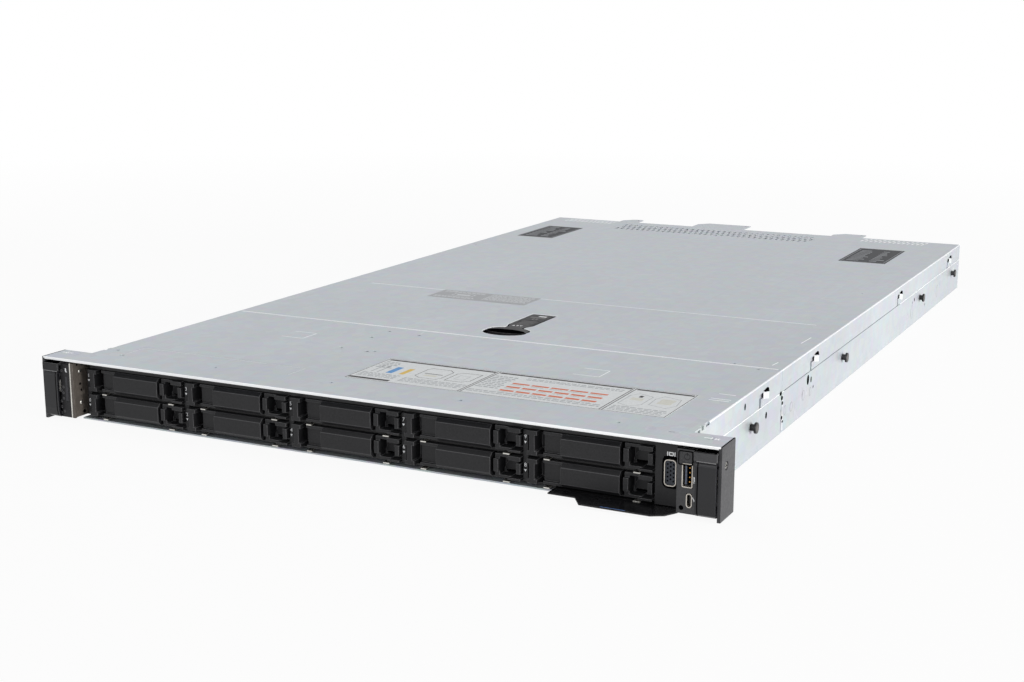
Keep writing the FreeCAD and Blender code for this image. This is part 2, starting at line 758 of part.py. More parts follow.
def ear_housing(name, openings):
    """The moulded box of one ear, seen on the right side, with the cap above the quick latch."""
    shell = block(name + "_shell", (WALL_INNER, "housing_right"), ("-housing_front", "-ear_plate"),
                  ("housing_bottom", "housing_top"))
    cap_x = ("housing_right - 0.5*housing_wall", EAR_EDGE + " - ear_plate")
    cap_low = "(slam_pivot_height + slam_eye_radius + cap_gap)"
    cap = block(name + "_cap", cap_x, ("-slam_front", "-slam_front + slam_skin"), (cap_low, "cap_top"))
    roof = block(name + "_roof", cap_x, ("-slam_front", "-ear_plate"), ("cap_top - housing_wall", "cap_top"))
    body = fuse(name + "_solid", [shell, cap, roof])
    hollow = block(name + "_hollow", (WALL_INNER + " + housing_wall", "housing_right - housing_wall"),
                   ("-housing_front + housing_wall", "ear_plate"),
                   ("housing_bottom + housing_wall", "housing_top - housing_wall"))
    return cut(name + "_moulding", cut(name + "_hollowed", body, [hollow]), openings)


def window(name, middle, level, width, height, margin):
    """A rectangular hole through a housing's front wall."""
    return block(name,
                 ("%s - %s/2 - %s" % (middle, width, margin), "%s + %s/2 + %s" % (middle, width, margin)),
                 ("-housing_front - 1", "-housing_front + 2*housing_wall"),
                 ("%s - %s/2 - %s" % (level, height, margin), "%s + %s/2 + %s" % (level, height, margin)))


def right_control_housing():
    """The housing with the power button, two service ports and a status light."""
    openings = [
        window("button_hole", "button_middle", "button_level", "button_width", "button_height", "button_gap"),
        window("usb_a_hole", "port_middle", "usb_a_level", "usb_a_width", "usb_a_height", "0"),
        window("usb_c_hole", "usb_c_middle", "usb_c_level", "usb_c_width", "usb_c_height", "0"),
    ]
    housing = ear_housing("control", openings)
    lap = block("control_lap", (WALL_INNER + " - bezel_lap", WALL_INNER + " + 0.5*housing_wall"),
                ("-housing_front", "-ear_leg_front"), ("housing_bottom", "housing_top"))
    return node("right_control_housing", fuse("control_housing", [housing, lap]))


def left_status_housing():
    """The housing with the status lights, a mirror image of the other one's box."""
    lights = [window("light_strip", "port_middle", "light_level", "light_width", "light_height", "0")]
    return node("left_status_housing", mirrored("status_housing", ear_housing("status", lights)))


def slam_latch():
    """The right quick latch: a curved cover that swings up about its top pin."""
    front = "-slam_front"
    inner = "(-slam_front + slam_skin)"
    pivot = "-slam_pivot_place"
    section = [
        (front + " + 2.2", "slam_bottom"), (front + " + 0.7", "slam_bottom + 1.2"),
        (front, "slam_bottom + 6"), (front, "slam_pivot_height"),
        (pivot, "slam_pivot_height"), (pivot + " + 0.5", "slam_pivot_height - slam_eye_radius + 0.3"),
        (inner, "slam_pivot_height - slam_eye_radius - 2"), (inner, "slam_bottom + 6"),
        (inner + " + 0.8", "slam_bottom + 3.4"), (inner + " + 3.6", "slam_bottom + 3.4"),
        (inner + " + 3.6", "slam_bottom"),
    ]
    sides = ("housing_right + fit_gap", EAR_EDGE + " - ear_plate - fit_gap")
    skin = profile("slam_skin_form", "YZ", section, *sides)
    eye = rod("slam_eye", "x", (pivot, "slam_pivot_height"), sides, "slam_eye_radius")
    bore = rod("slam_bore", "x", (pivot, "slam_pivot_height"), ("housing_right - 1", EAR_EDGE),
               "slam_pin_radius + slam_running_gap")
    return cut("slam_right", fuse("slam_body", [skin, eye]), [bore])


def power_button():
    """The key in its hole, with the flange that keeps it there."""
    def span(middle, width, extra):
        return ("%s - %s/2 - %s" % (middle, width, extra), "%s + %s/2 + %s" % (middle, width, extra))
    wall_back = "(-housing_front + housing_wall)"
    key = block("button_key", span("button_middle", "button_width", "0"),
                ("-housing_front - button_proud", wall_back + " + 1.5"),
                span("button_level", "button_height", "0"))
    flange = block("button_plate", span("button_middle", "button_width", "0"),
                   (wall_back + " + 0.5*button_gap", wall_back + " + 1.5"),
                   span("button_level", "button_height", "button_flange"))
    return node("power_button", fuse("button", [key, flange]))


def socket_shell(name, middle, level, width, height, depth, tongue):
    """A metal port shell, open at the front, with its tongue."""
    back = "(-port_front + %s)" % depth
    def span(centre, wide, less):
        return ("%s - %s/2 + %s" % (centre, wide, less), "%s + %s/2 - %s" % (centre, wide, less))
    outer = block(name + "_outer", span(middle, width, "0"), ("-port_front", back), span(level, height, "0"))
    inner = block(name + "_inner", span(middle, width, "port_shell"), ("-port_front - 1", back + " - 1"),
                  span(level, height, "port_shell"))
    strip = block(name + "_tongue", ("%s - %s" % (middle, tongue), "%s + %s" % (middle, tongue)),
                  ("-port_front + port_insert_depth", back), span(level, height, "3*port_shell"))
    return fuse(name, [cut(name + "_case", outer, [inner]), strip])


def usb_ports():
    """The two service ports of the right ear."""
    large = socket_shell("usb_a", "port_middle", "usb_a_level", "usb_a_width", "usb_a_height", "usb_a_depth",
                         "1.6*port_shell")
    small = socket_shell("usb_c", "usb_c_middle", "usb_c_level", "usb_c_width", "usb_c_height", "usb_c_depth",
                         "0.7*port_shell")
    return node("usb_ports", group("front_ports", [large, small]))


def vga_front():
    """The display port and the narrow panel that it stands in, right of the drive bays."""
    left = CAGE_RIGHT
    right = "(" + WALL_INNER + " - ear_sheet)"
    panel = block("panel_plate", (left, right), ("-vga_panel_front", "-vga_panel_front + 2*plate"),
                  (CAGE_FLOOR, CAGE_ROOF + " + 3*plate"))
    flange = block("panel_side", (left, left + " + plate"), ("-vga_panel_front", "ear_leg_back"),
                   (CAGE_FLOOR, CAGE_ROOF))
    low = "(vga_level - vga_height/2)"
    high = "(vga_level + vga_height/2)"
    hole = block("panel_hole", ("vga_middle - vga_width/2", "vga_middle + vga_width/2"),
                 ("-vga_panel_front - 1", "-vga_panel_front + 3*plate"), (low, high))
    node("vga_panel", cut("display_panel", fuse("panel", [panel, flange]), [hole]))
    outline = [
        ("vga_middle - vga_width/2", low), ("vga_middle + vga_width/2", low + " + 1.2"),
        ("vga_middle + vga_width/2", high + " - 1.2"), ("vga_middle - vga_width/2", high),
    ]
    shell = profile("display_shell", "XZ", outline, "-vga_reach", "-vga_panel_front + vga_length")
    return node("vga_port", shell)


def drive_blank():
    """One moulded drive blank in the lowest left bay: post, slots, raised bar, finger pocket and rails."""
    def along(offset):
        return "(bays_left + %s)" % offset
    bottom = "first_row"
    top = "(first_row + blank_height)"
    post_end = along("post_width")
    plate_start = along("post_width + slot_width")
    bar_left = along("bar_start")
    bar_right = along("bar_start + bar_width")
    small_start = along("bar_start + bar_width + bar_slot")
    small_end = along("bar_start + bar_width + bar_slot + small_post_width")
    pocket_end = along("bar_start + bar_width + bar_slot + small_post_width + pocket_width")
    right = along("blank_width")
    floor = "(-blank_back - blank_wall)"
    post_front = "(-blank_front + post_setback)"
    outline = [
        ("bays_left", post_front), (post_end, post_front), (post_end, floor), (plate_start, floor),
        (plate_start, "-blank_plate"), (bar_left, "-blank_plate"), (bar_left, "-blank_front"),
        (bar_right, "-blank_front"), (bar_right, floor), (small_start, floor), (small_start, post_front),
        (small_end, post_front), (small_end, floor), (pocket_end, floor), (pocket_end, post_front),
        (right, post_front), (right, "-blank_back"), ("bays_left", "-blank_back"),
    ]
    face = profile("blank_face_form", "XY", outline, bottom, top)
    lip_span = (small_start, small_start + " + lip_width")
    lips = [
        block("pocket_shelf", lip_span, ("-blank_face", "-blank_back"), (bottom, bottom + " + plate_lip")),
        block("pocket_lip", lip_span, ("-blank_face", "-blank_back"), (top + " - plate_lip", top)),
        block("hood", (small_start + " + lip_width - blank_wall", right), (post_front, "-blank_back"),
              (top + " - hood_drop", top)),
        block("sill", (small_start + " + lip_width - blank_wall", right), (post_front, "-blank_back"),
              (bottom, bottom + " + blank_wall")),
        block("plate_lip_low", (plate_start, bar_left), ("-blank_face", "-blank_back"),
              (bottom, bottom + " + plate_lip")),
        block("plate_lip_high", (plate_start, bar_left), ("-blank_face", "-blank_back"),
              (top + " - plate_lip", top)),
    ]
    scoop_rise = "%s + scoop_rise*%g"
    arch = [(small_end, bottom + " + blank_wall"), (pocket_end, bottom + " + blank_wall")]
    for share, rise in ((1.0, 0.86), (0.75, 0.96), (0.5, 1.0), (0.25, 0.9), (0.1, 0.7), (0.0, 0.45)):
        arch.append(("%s + pocket_width*%g" % (small_end, share), scoop_rise % (bottom, rise)))
    scoop = profile("pocket_scoop", "XZ", arch, floor + " - scoop_depth", floor + " + blank_wall/2")
    rail_length = ("-blank_back - 0.5", "-blank_back + blank_depth")
    rails = []
    for name, start in (("rail_left", along("rail_width")),
                        ("rail_right", along("blank_width - 2*rail_width"))):
        rails.append(block(name, (start, start + " + rail_width"), rail_length,
                           (bottom + " + blank_wall", top + " - blank_wall")))
    cross = block("rail_cross", (along("rail_width"), along("blank_width - rail_width")),
                  ("-blank_back + blank_depth - rail_width", "-blank_back + blank_depth"),
                  (bottom + " + blank_wall", top + " - blank_wall"))
    solid = fuse("blank_solid", [face, scoop, cross] + lips + rails)
    front_room = ("-blank_front - 1", floor)
    hollow = block("bar_hollow", (plate_start + " + blank_wall", bar_right + " - blank_wall"),
                   ("-blank_plate + blank_wall", "-blank_back + 1"),
                   (bottom + " + blank_wall", top + " - blank_wall"))
    notch_levels = (bottom + " + post_flange", top + " - post_flange")
    side = "(post_width - post_web)/2"
    notches = [
        block("post_notch_left", ("bays_left - 1", "bays_left + " + side), front_room, notch_levels),
        block("post_notch_right", (post_end + " - " + side, post_end), front_room, notch_levels),
    ]
    over_posts = block("post_top", (small_start, small_end), ("-blank_front - 1", "-blank_face"),
                       (bottom + " + post_foot + post_height", top))
    under_posts = block("post_foot", (small_start, small_end), ("-blank_front - 1", "-blank_face"),
                        (bottom, bottom + " + post_foot"))
    tab_top = block("tab_top", (pocket_end, right), front_room,
                    (bottom + " + tab_rise + tab_height", top + " - hood_drop"))
    tab_foot = block("tab_foot", (pocket_end, right), front_room,
                     (bottom + " + blank_wall", bottom + " + tab_rise"))
    finger_slot = block("pocket_slot", (small_end + " + blank_wall", pocket_end + " - blank_wall"),
                        (floor + " - 2*scoop_depth", "-blank_back + 1"),
                        (bottom + " + plate_lip", bottom + " + 2*plate_lip"))
    bevels = []
    for name, edge, sign in (("bevel_low", bottom, "+"), ("bevel_high", top, "-")):
        triangle = [
            ("-blank_front - 0.01", edge), ("-blank_face", edge),
            ("-blank_front - 0.01", edge + sign + " bar_chamfer"),
        ]
        bevels.append(profile(name, "YZ", triangle, bar_left, bar_right))
    tools = [hollow, over_posts, under_posts, tab_top, tab_foot, finger_slot] + notches + bevels
    return cut("blank", solid, tools)


def drive_blanks():
    """Ten equal blanks, numbered from the lower left."""
    blank = drive_blank()
    number = 0
    for row in range(ROWS):
        for column in range(COLUMNS):
            number += 1
            name = "drive_blank_%02d" % number
            node(name, copy_at("bay_" + name, blank, x="%d*bay_pitch" % column, z="%d*row_pitch" % row))


def drive_cage():
    """Sheet cage: floor, shelf, roof and a divider on each side of every column, with the intake strip."""
    depth = ("-cage_front", "cage_back")
    pieces = [
        block("cage_floor", (CAGE_LEFT, CAGE_RIGHT), depth, (CAGE_FLOOR, "first_row - fit_gap")),
        block("cage_shelf", (CAGE_LEFT, CAGE_RIGHT), depth,
              ("first_row + blank_height + fit_gap", "first_row + row_pitch - fit_gap")),
        block("cage_roof", (CAGE_LEFT, CAGE_RIGHT), ("-intake_front", "cage_back"),
              (CAGE_ROOF, CAGE_ROOF + " + cage_sheet")),
    ]
    for number in range(COLUMNS + 1):
        left = "(bays_left + %d*bay_pitch - bay_pitch + blank_width + fit_gap)" % number
        right = "(bays_left + %d*bay_pitch - fit_gap)" % number
        if number == 0:
            left = CAGE_LEFT
        if number == COLUMNS:
            right = CAGE_RIGHT
        pieces.append(block("divider_%d" % number, (left, right), depth,
                            (CAGE_FLOOR, CAGE_ROOF + " + plate/2")))
    strip = block("intake_strip", (CAGE_LEFT, CAGE_RIGHT), ("-intake_front", "-intake_front + cage_sheet"),
                  (CAGE_ROOF, TOP_UNDER))
    feet = []
    for number, (left, right) in enumerate(((CAGE_LEFT, CAGE_LEFT + " + 2*plate"),
                                            ("tag_left - fit_gap - 2*plate", "tag_left - fit_gap"))):
        feet.append(block("cage_foot_%d" % number, (left, right), depth,
                          ("plate", CAGE_FLOOR + " + plate/2")))
    slots = []
    count = int((size("bay_pitch") * (COLUMNS - 1) + size("blank_width")) / size("intake_pitch"))
    for number in range(count):
        left = "bays_left + %d*intake_pitch + 2" % number
        middle = "((%s + cage_sheet + %s)/2)" % (CAGE_ROOF, TOP_UNDER)
        slots.append(block("intake_%d" % number, (left, left + " + intake_slot"),
                           ("-intake_front - 1", "-intake_front + 2*cage_sheet"),
                           (middle + " - intake_slot_height/2", middle + " + intake_slot_height/2")))
    return node("drive_cage", cut("cage", fuse("cage_sheets", pieces + [strip] + feet), slots))


def backplane():
    """The board behind the bays, with one drive connector for each."""
    levels = ("plate", "plate + backplane_height")
    board = block("backplane_board", (CAGE_LEFT, CAGE_RIGHT),
                  ("backplane_place", "backplane_place + board_thickness"), levels)
    pieces = [board]
    for row in range(ROWS):
        for column in range(COLUMNS):
            left = "(bays_left + %d*bay_pitch + blank_width/2 - drive_plug_width/2)" % column
            low = "(first_row + %d*row_pitch + blank_height/2 - drive_plug_height/2)" % row
            pieces.append(block("drive_plug_%d_%d" % (row, column), (left, left + " + drive_plug_width"),
                                ("backplane_place - drive_plug_depth", "backplane_place + board_thickness/2"),
                                (low, low + " + drive_plug_height")))
    return node("backplane", fuse("backplane_assembly", pieces))


def info_tag():
    """The pull-out tag under the lower blanks, with its wider grip in front."""
    low = "(plate + fit_gap)"
    outline = [
        ("tag_left", "-tag_shoulder"), ("tag_grip_left", "-tag_shoulder"),
        ("tag_grip_left + tag_grip_taper", "-tag_front"), ("tag_grip_right - tag_grip_taper", "-tag_front"),
        ("tag_grip_right", "-tag_front + tag_grip_corner"), ("tag_right - tag_corner/2", "-tag_shoulder"),
        ("tag_right", "-tag_shoulder + tag_corner"), ("tag_right", "-tag_front + tag_length"),
        ("tag_left", "-tag_front + tag_length"),
    ]
    return node("info_tag", profile("tag", "XY", outline, low, low + " + tag_thickness"))


def fan_place(number):
    """Distance of a fan's axis from the middle."""
    return "%g*fan_pitch" % (number - (FANS - 1) / 2.0)


def fan_frames():
    """Eight square frames, each with a bore, a strut and the motor's cup."""
    base = ("-fan_size/2", "fan_size/2")
    depth = ("fan_front", "fan_front + fan_depth")
    frame = block("frame_block", base, depth, ("plate", "plate + fan_size"))
    bore = rod("frame_bore", "y", ("0", FAN_AXIS), ("fan_front - 1", "fan_front + fan_depth + 1"),
               "fan_bore", 12)
    ring = cut("frame_ring", frame, [bore])
    cup_front = "(fan_front + fan_lead + fan_hub_depth + fit_gap)"
    cup = rod("motor_cup", "y", ("0", FAN_AXIS), (cup_front, cup_front + " + fan_motor_depth"), "fan_hub", 8)
    strut = block("motor_strut", ("-fan_bore - 0.5", "fan_bore + 0.5"),
                  (cup_front + " + fan_motor_depth/2", cup_front + " + fan_motor_depth"),
                  (FAN_AXIS + " - fan_strut/2", FAN_AXIS + " + fan_strut/2"))
    solid = fuse("frame_solid", [ring, cup, strut])
    shaft_hole = rod("shaft_hole", "y", ("0", FAN_AXIS),
                     (cup_front + " - 1", cup_front + " + fan_motor_depth/2"),
                     "fan_shaft + fan_shaft_room", 8)
    master = cut("frame", solid, [shaft_hole])
    frames = [copy_at("frame_%d" % number, master, x=fan_place(number)) for number in range(FANS)]
    return node("fan_frames", group("frames", frames))


def blade_ring(name, hub, tip, front, depth, thickness, height):
    """Leaning blades about a Y axis: slabs that stand on the hub, their corners at the tip radius."""
    lean = math.radians(BLADE_LEAN)
    along = FreeCAD.Vector(math.sin(lean), math.cos(lean), 0) * (depth / 2.0 / math.cos(lean))
    side = FreeCAD.Vector(math.cos(lean), -math.sin(lean), 0) * (thickness / 2.0)
    root = FreeCAD.Vector(0, front + depth / 2.0, 0.8 * hub)
    corners = [root - along - side, root + along - side, root + along + side, root - along + side]
    reach = abs(along.x) + abs(side.x)
    height_of_blade = math.sqrt(tip * tip - reach * reach) - root.z
    slab = Part.Face(Part.makePolygon(corners + corners[:1])).extrude(FreeCAD.Vector(0, 0, height_of_blade))
    blades = []
    for number in range(FAN_BLADES):
        blade = slab.copy()
        blade.rotate(FreeCAD.Vector(), FreeCAD.Vector(0, 1, 0), number * 360.0 / FAN_BLADES)
        blades.append(blade)
    ring = doc.addObject("Part::Feature", name)
    ring.Shape = Part.makeCompound(blades)
    ring.setExpression(".Placement.Base.z", bound(height))
    return ring


def fan_rotors():
    """Eight rotors: hub, blades and the shaft that turns in the motor's cup."""
    front = size("fan_front") + size("fan_lead")
    room = (size("fan_hub_depth") - size("fan_blade_depth")) / 2
    blades = blade_ring("rotor_blades", size("fan_hub"), size("fan_blade_radius"), front + room,
                        size("fan_blade_depth"), size("fan_blade_thickness"), FAN_AXIS)
    hub_span = ("fan_front + fan_lead", "fan_front + fan_lead + fan_hub_depth")
    hub = rod("rotor_hub", "y", ("0", FAN_AXIS), hub_span, "fan_hub", 10)
    shaft = rod("rotor_shaft", "y", ("0", FAN_AXIS),
                ("fan_front + fan_lead + fan_hub_depth/2", hub_span[1] + " + fit_gap + 0.4*fan_motor_depth"),
                "fan_shaft")
    master = fuse("rotor", [hub, blades, shaft])
    for number in range(FANS):
        node("fan_rotor_%d" % (number + 1), copy_at("rotor_%d" % number, master, x=fan_place(number)))


def fan_cage():
    """The cage that holds the fans: two drilled walls joined by dividers."""
    wide = ("-" + UPPER_INNER + " + 1", UPPER_INNER + " - 1")
    levels = ("plate", "plate + fan_size - 1")
    front = block("fan_wall_front", wide, ("fan_front - fit_gap - plate", "fan_front - fit_gap"), levels)
    back_place = "(fan_front + fan_depth + fit_gap)"
    back = block("fan_wall_back", wide, (back_place, back_place + " + plate"), levels)
    dividers = []
    for number in range(FANS + 1):
        middle = "%g*fan_pitch" % (number - FANS / 2.0)
        dividers.append(block("fan_divider_%d" % number, (middle + " - plate/2", middle + " + plate/2"),
                              ("fan_front - fit_gap - plate/2", back_place + " + plate/2"), levels))
    holes = []
    for number in range(FANS):
        middle = fan_place(number)
        holes.append(block("fan_window_%d" % number, (middle + " - fan_bore", middle + " + fan_bore"),
                           ("fan_front - cage_lead", "fan_front + fan_depth + cage_lead"),
                           ("plate + fan_guard", "plate + fan_size - 1 - fan_guard")))
    return node("fan_cage", cut("fan_cage_drilled", fuse("fan_cage_sheets", [front, back] + dividers), holes))


def memory_places():
    """Distance of every memory module from the middle, in four banks."""
    places = []
    for side in (-1, 1):
        for direction in (-1, 1):
            for number in range(MODULES_PER_BANK):
                offset = "(module_start + %d*module_pitch)" % number
                places.append("(%d*processor_side + %d*%s)" % (side, direction, offset))
    return places


def system_board():
    """The main board on its standoffs, with the memory sockets soldered to it."""
    front_half = "(" + UPPER_INNER + " - board_side_gap)"
    outline = [
        ("-" + front_half, "board_front"), (front_half, "board_front"), (front_half, "board_step"),
        ("board_rear_half_width", "board_step"), ("board_rear_half_width", "board_back"),
        ("-board_rear_half_width", "board_back"), ("-board_rear_half_width", "board_step"),
        ("-" + front_half, "board_step"),
    ]
    plain = [profile("main_board", "XY", outline, "board_height", BOARD_TOP)]
    for number, (across, along) in enumerate(((-200, 0), (0, 0), (200, 0), (-200, 1), (200, 1),
                                              (-140, 2), (0, 2), (140, 2))):
        place = ("board_front + standoff_inset", "board_step - standoff_inset",
                 "board_back - standoff_inset")[along]
        centre = ("%g*body_width/434" % across, place)
        plain.append(rod("standoff_%d" % number, "z", centre, ("plate", "board_height + 0.2"), "3", 6))
    pieces = [fuse("main_board_raised", plain)]
    middle = "processor_middle"
    for number, place in enumerate(memory_places()):
        pieces.append(block("memory_socket_%d" % number,
                            (place + " - socket_width/2", place + " + socket_width/2"),
                            (middle + " - socket_length/2", middle + " + socket_length/2"),
                            (BOARD_TOP, BOARD_TOP + " + socket_height")))
    return node("system_board", group("main_board_assembly", pieces))


def memory_modules():
    """Thirty-two upright memory modules, seated in their sockets."""
    pieces = []
    middle = "processor_middle"
    for number, place in enumerate(memory_places()):
        pieces.append(block("module_%d" % number,
                            (place + " - module_thickness/2", place + " + module_thickness/2"),
                            (middle + " - module_length/2", middle + " + module_length/2"),
                            (BOARD_TOP + " + socket_height", "module_top")))
    return node("memory_modules", group("modules", pieces))


def processors_and_sinks():
    """Two processors in their sockets, each under a finned heat sink."""
    middle = "processor_middle"
    top = "(" + BOARD_TOP + " + processor_height)"
    pieces = []
    for side in (-1, 1):
        centre = "%d*processor_side" % side
        pieces.append(block("processor_%d" % (side + 1),
                            (centre + " - processor_width/2", centre + " + processor_width/2"),
                            (middle + " - processor_length/2", middle + " + processor_length/2"),
                            (BOARD_TOP, top)))
    node("processors", group("processor_pair", pieces))
    length = (middle + " - sink_length/2", middle + " + sink_length/2")
    base = block("sink_plate", ("-sink_width/2", "sink_width/2"), length, (top, top + " + sink_base"))
    fins = []
    for number in range(FINS):
        centre = "%g*fin_pitch" % (number - (FINS - 1) / 2.0)
        fins.append(block("fin_%d" % number, (centre + " - fin_thickness/2", centre + " + fin_thickness/2"),
                          length, (top + " + sink_base/2", "sink_top")))
    sink = fuse("sink", [base] + fins)
    node("left_heat_sink", copy_at("sink_left", sink, x="-processor_side"))
    node("right_heat_sink", copy_at("sink_right", sink, x="processor_side"))


def air_shroud():
    """The duct over processors and memory, open above the memory banks."""
    middle = "processor_middle"
    half = "(" + UPPER_INNER + " - board_side_gap - plate)"
    length = (middle + " - shroud_length/2", middle + " + shroud_length/2")
    roof = block("shroud_roof", ("-" + half, half), length, ("shroud_top - shroud_wall", "shroud_top"))
    left = block("shroud_left", ("-" + half, "-" + half + " + shroud_wall"), length,
                 (BOARD_TOP, "shroud_top - shroud_wall/2"))
    right = block("shroud_right", (half + " - shroud_wall", half), length,
                  (BOARD_TOP, "shroud_top - shroud_wall/2"))
    windows = []
    for side in (-1, 1):
        for direction in (-1, 1):
            centre = "(%d*processor_side + %d*(module_start + 3.5*module_pitch))" % (side, direction)
            windows.append(block("shroud_window_%d_%d" % (side + 1, direction + 1),
                                 (centre + " - 3.4*module_pitch", centre + " + 3.4*module_pitch"),
                                 (middle + " - shroud_window", middle + " + shroud_window"),
                                 ("shroud_top - 2*shroud_wall", "shroud_top + 1")))
    return node("air_shroud", cut("shroud", fuse("shroud_shell", [roof, left, right]), windows))


def rear_panel():
    """The low rear wall with the port holes, and the walls of the two power supply bays."""
    bay_wall = "(supply_outer - supply_width - bay_wall_gap)"
    wall = ("rear_face - plate", "rear_face")
    sheets = [block("rear_wall", ("-" + bay_wall, bay_wall), wall, ("plate", "rear_wall_height"))]
    for name, left in (("bay_wall_left", "-" + bay_wall), ("bay_wall_right", bay_wall + " - plate")):
        sheets.append(block(name, (left, left + " + plate"),
                            ("rear_face - supply_length", "rear_face"), ("plate", TOP_UNDER)))
    holes = [block(name + "_hole", (left, right), ("rear_face - 2*plate", "rear_face + plate"), (low, high))
             for name, (left, right), (low, high) in rear_port_spans()]
    return node("rear_panel", cut("rear_sheet", fuse("rear_sheets", sheets), holes))


def rear_port_spans():
    """Name, width and height span of each port at the rear."""
    low = BOARD_TOP
    spans = []
    for number, place in enumerate((-118, -62, -44)):
        spans.append(("jack_%d" % number, ("%d - jack_width/2" % place, "%d + jack_width/2" % place),
                      (low, low + " + jack_height")))
    spans.append(("display", ("-16", "15"), (low, low + " + 12.5")))
    spans.append(("flat_port_left", ("17.5", "30.5"), (low, low + " + 6.4")))
    spans.append(("flat_port_right", ("38", "51"), (low, low + " + 6.4")))
    return spans


def rear_ports():
    """Network jacks with open mouths, the display port and two flat ports."""
    pieces = []
    for name, (left, right), (low, high) in rear_port_spans():
        body = block(name + "_body", (left, right), ("rear_face - jack_depth", "rear_face + jack_proud"),
                     (low, high))
        if name.startswith("jack"):
            centre = "((%s) + (%s))/2" % (left, right)
            mouth = block(name + "_mouth",
                          (centre + " - jack_mouth_width/2", centre + " + jack_mouth_width/2"),
                          ("rear_face + jack_proud - jack_mouth_depth", "rear_face + jack_proud + 1"),
                          (low + " + 2", low + " + 2 + jack_mouth_height"))
            body = cut(name, body, [mouth])
        pieces.append(body)
    return node("rear_ports", group("rear_port_group", pieces))


def riser_cage(name, left, width, tongue, reach="tongue_reach"):
    """A card cage's roof and slotted rear face, with the tongue that stands out behind it."""
    right = "%s + %s" % (left, width)
    start, end = tongue
    back = "(rear_face + %s)" % reach
    outline = [
        (left, "riser_front"), (right, "riser_front"), (right, "rear_face"), (end, "rear_face"),
        (end, back), (start + " + tongue_taper", back), (start, back + " - tongue_taper"),
        (start, "rear_face"),
        (left, "rear_face"),
    ]
    roof = profile(name + "_roof", "XY", outline, "riser_top - plate", "riser_top")
    face = block(name + "_face", (left, right), ("rear_face - plate", "rear_face"),
                 ("rear_wall_height", "riser_top - plate/2"))
    leg = block(name + "_leg", (left, left + " + plate"), ("riser_front", "rear_face - plate"),
                (BOARD_TOP, "riser_top - plate/2"))
    notch = block(name + "_notch", (end + " - 2*tongue_hole", end + " - tongue_hole"),
                  (back + " - 2*tongue_hole", back + " - tongue_hole"),
                  ("riser_top - 2*plate", "riser_top + 1"))
    vents = []
    count = int(size(width) / size("card_slot_pitch")) - 1
    for number in range(count):
        start_x = "%s + card_slot_margin + %d*card_slot_pitch" % (left, number)
        vents.append(block("%s_vent_%d" % (name, number), (start_x, start_x + " + card_slot_width"),
                           ("rear_face - 2*plate", "rear_face + 1"),
                           ("rear_wall_height + card_slot_rise", "riser_top - card_slot_drop")))
    return node(name, cut(name + "_cut", fuse(name + "_sheets", [roof, face, leg]), [notch] + vents))


def power_supply():
    """One supply unit in the right bay: case with fan cavity and inlet, guard and handle."""
    left = "(supply_outer - supply_width)"
    low = "(plate + fit_gap)"
    high = "(plate + fit_gap + supply_height)"
    middle = "(plate + fit_gap + supply_height/2)"
    fan_x = "(supply_outer - supply_width + supply_fan_middle)"
    inlet_x = "(supply_outer - supply_width + inlet_middle)"
    case = block("supply_box", (left, "supply_outer"), ("rear_face - supply_length", "rear_face"),
                 (low, high))
    cavity = rod("supply_cavity", "y", (fan_x, middle), ("rear_face - supply_fan_depth", "rear_face + 1"),
                 "supply_fan_bore")
    inlet = block("supply_inlet", (inlet_x + " - inlet_width/2", inlet_x + " + inlet_width/2"),
                  ("rear_face - inlet_depth", "rear_face + 1"),
                  (middle + " - inlet_height/2", middle + " + inlet_height/2"))
    shell = cut("supply_shell", case, [cavity, inlet])
    extras = []
    for number, (across, up) in enumerate(((-7, -2), (0, 3), (7, -2))):
        extras.append(block("inlet_pin_%d" % number,
                            ("%s + %d - 1" % (inlet_x, across), "%s + %d + 1" % (inlet_x, across)),
                            ("rear_face - inlet_depth - 1", "rear_face - inlet_depth + inlet_pin_length"),
                            ("%s + %d - 2" % (middle, up), "%s + %d + 2" % (middle, up))))
    for number in range(2):
        offset = "%g*supply_fan_bore" % (0.8 * (number - 0.5))
        extras.append(block("supply_bar_%d" % number,
                            ("%s - supply_fan_bore - 0.5" % fan_x, "%s + supply_fan_bore + 0.5" % fan_x),
                            ("rear_face - supply_guard", "rear_face"),
                            ("%s + %s - 0.6" % (middle, offset), "%s + %s + 0.6" % (middle, offset))))
    extras.append(block("supply_bar_upright", (fan_x + " - 0.6", fan_x + " + 0.6"),
                        ("rear_face - supply_guard", "rear_face"),
                        (middle + " - supply_fan_bore - 0.5", middle + " + supply_fan_bore + 0.5")))
    ring_left = "(" + fan_x + " - handle_width/2)"
    ring_right = "(" + fan_x + " + handle_width/2)"
    ring_levels = (high + " - 2*handle_thickness", high + " - handle_thickness")
    outer = block("handle_outer", (ring_left, ring_right), ("rear_face - 0.5", "rear_face + handle_reach"),
                  ring_levels)
    inner = block("handle_inner", (ring_left + " + handle_thickness", ring_right + " - handle_thickness"),
                  ("rear_face", "rear_face + handle_reach - handle_thickness"),
                  (high + " - 3*handle_thickness", high))
    pin = rod("supply_latch_pin", "z",
              ("supply_outer - supply_latch_inset", "rear_face + supply_latch_inset"),
              (middle + " - supply_latch_height/2 - supply_lug_thickness",
               middle + " + supply_latch_height/2 + supply_lug_thickness"), "supply_latch_pin")
    lugs = []
    for name, start in (("low", middle + " - supply_latch_height/2 - supply_lug_thickness"),
                        ("high", middle + " + supply_latch_height/2 + fit_gap")):
        lugs.append(block("supply_lug_" + name, ("supply_outer - supply_lug_width", "supply_outer"),
                          ("rear_face - plate/2", "rear_face + supply_lug_reach"),
                          (start, start + " + supply_lug_thickness - fit_gap")))
    handle = cut("handle", outer, [inner])
    return fuse("supply", [shell, handle, pin] + extras + lugs)


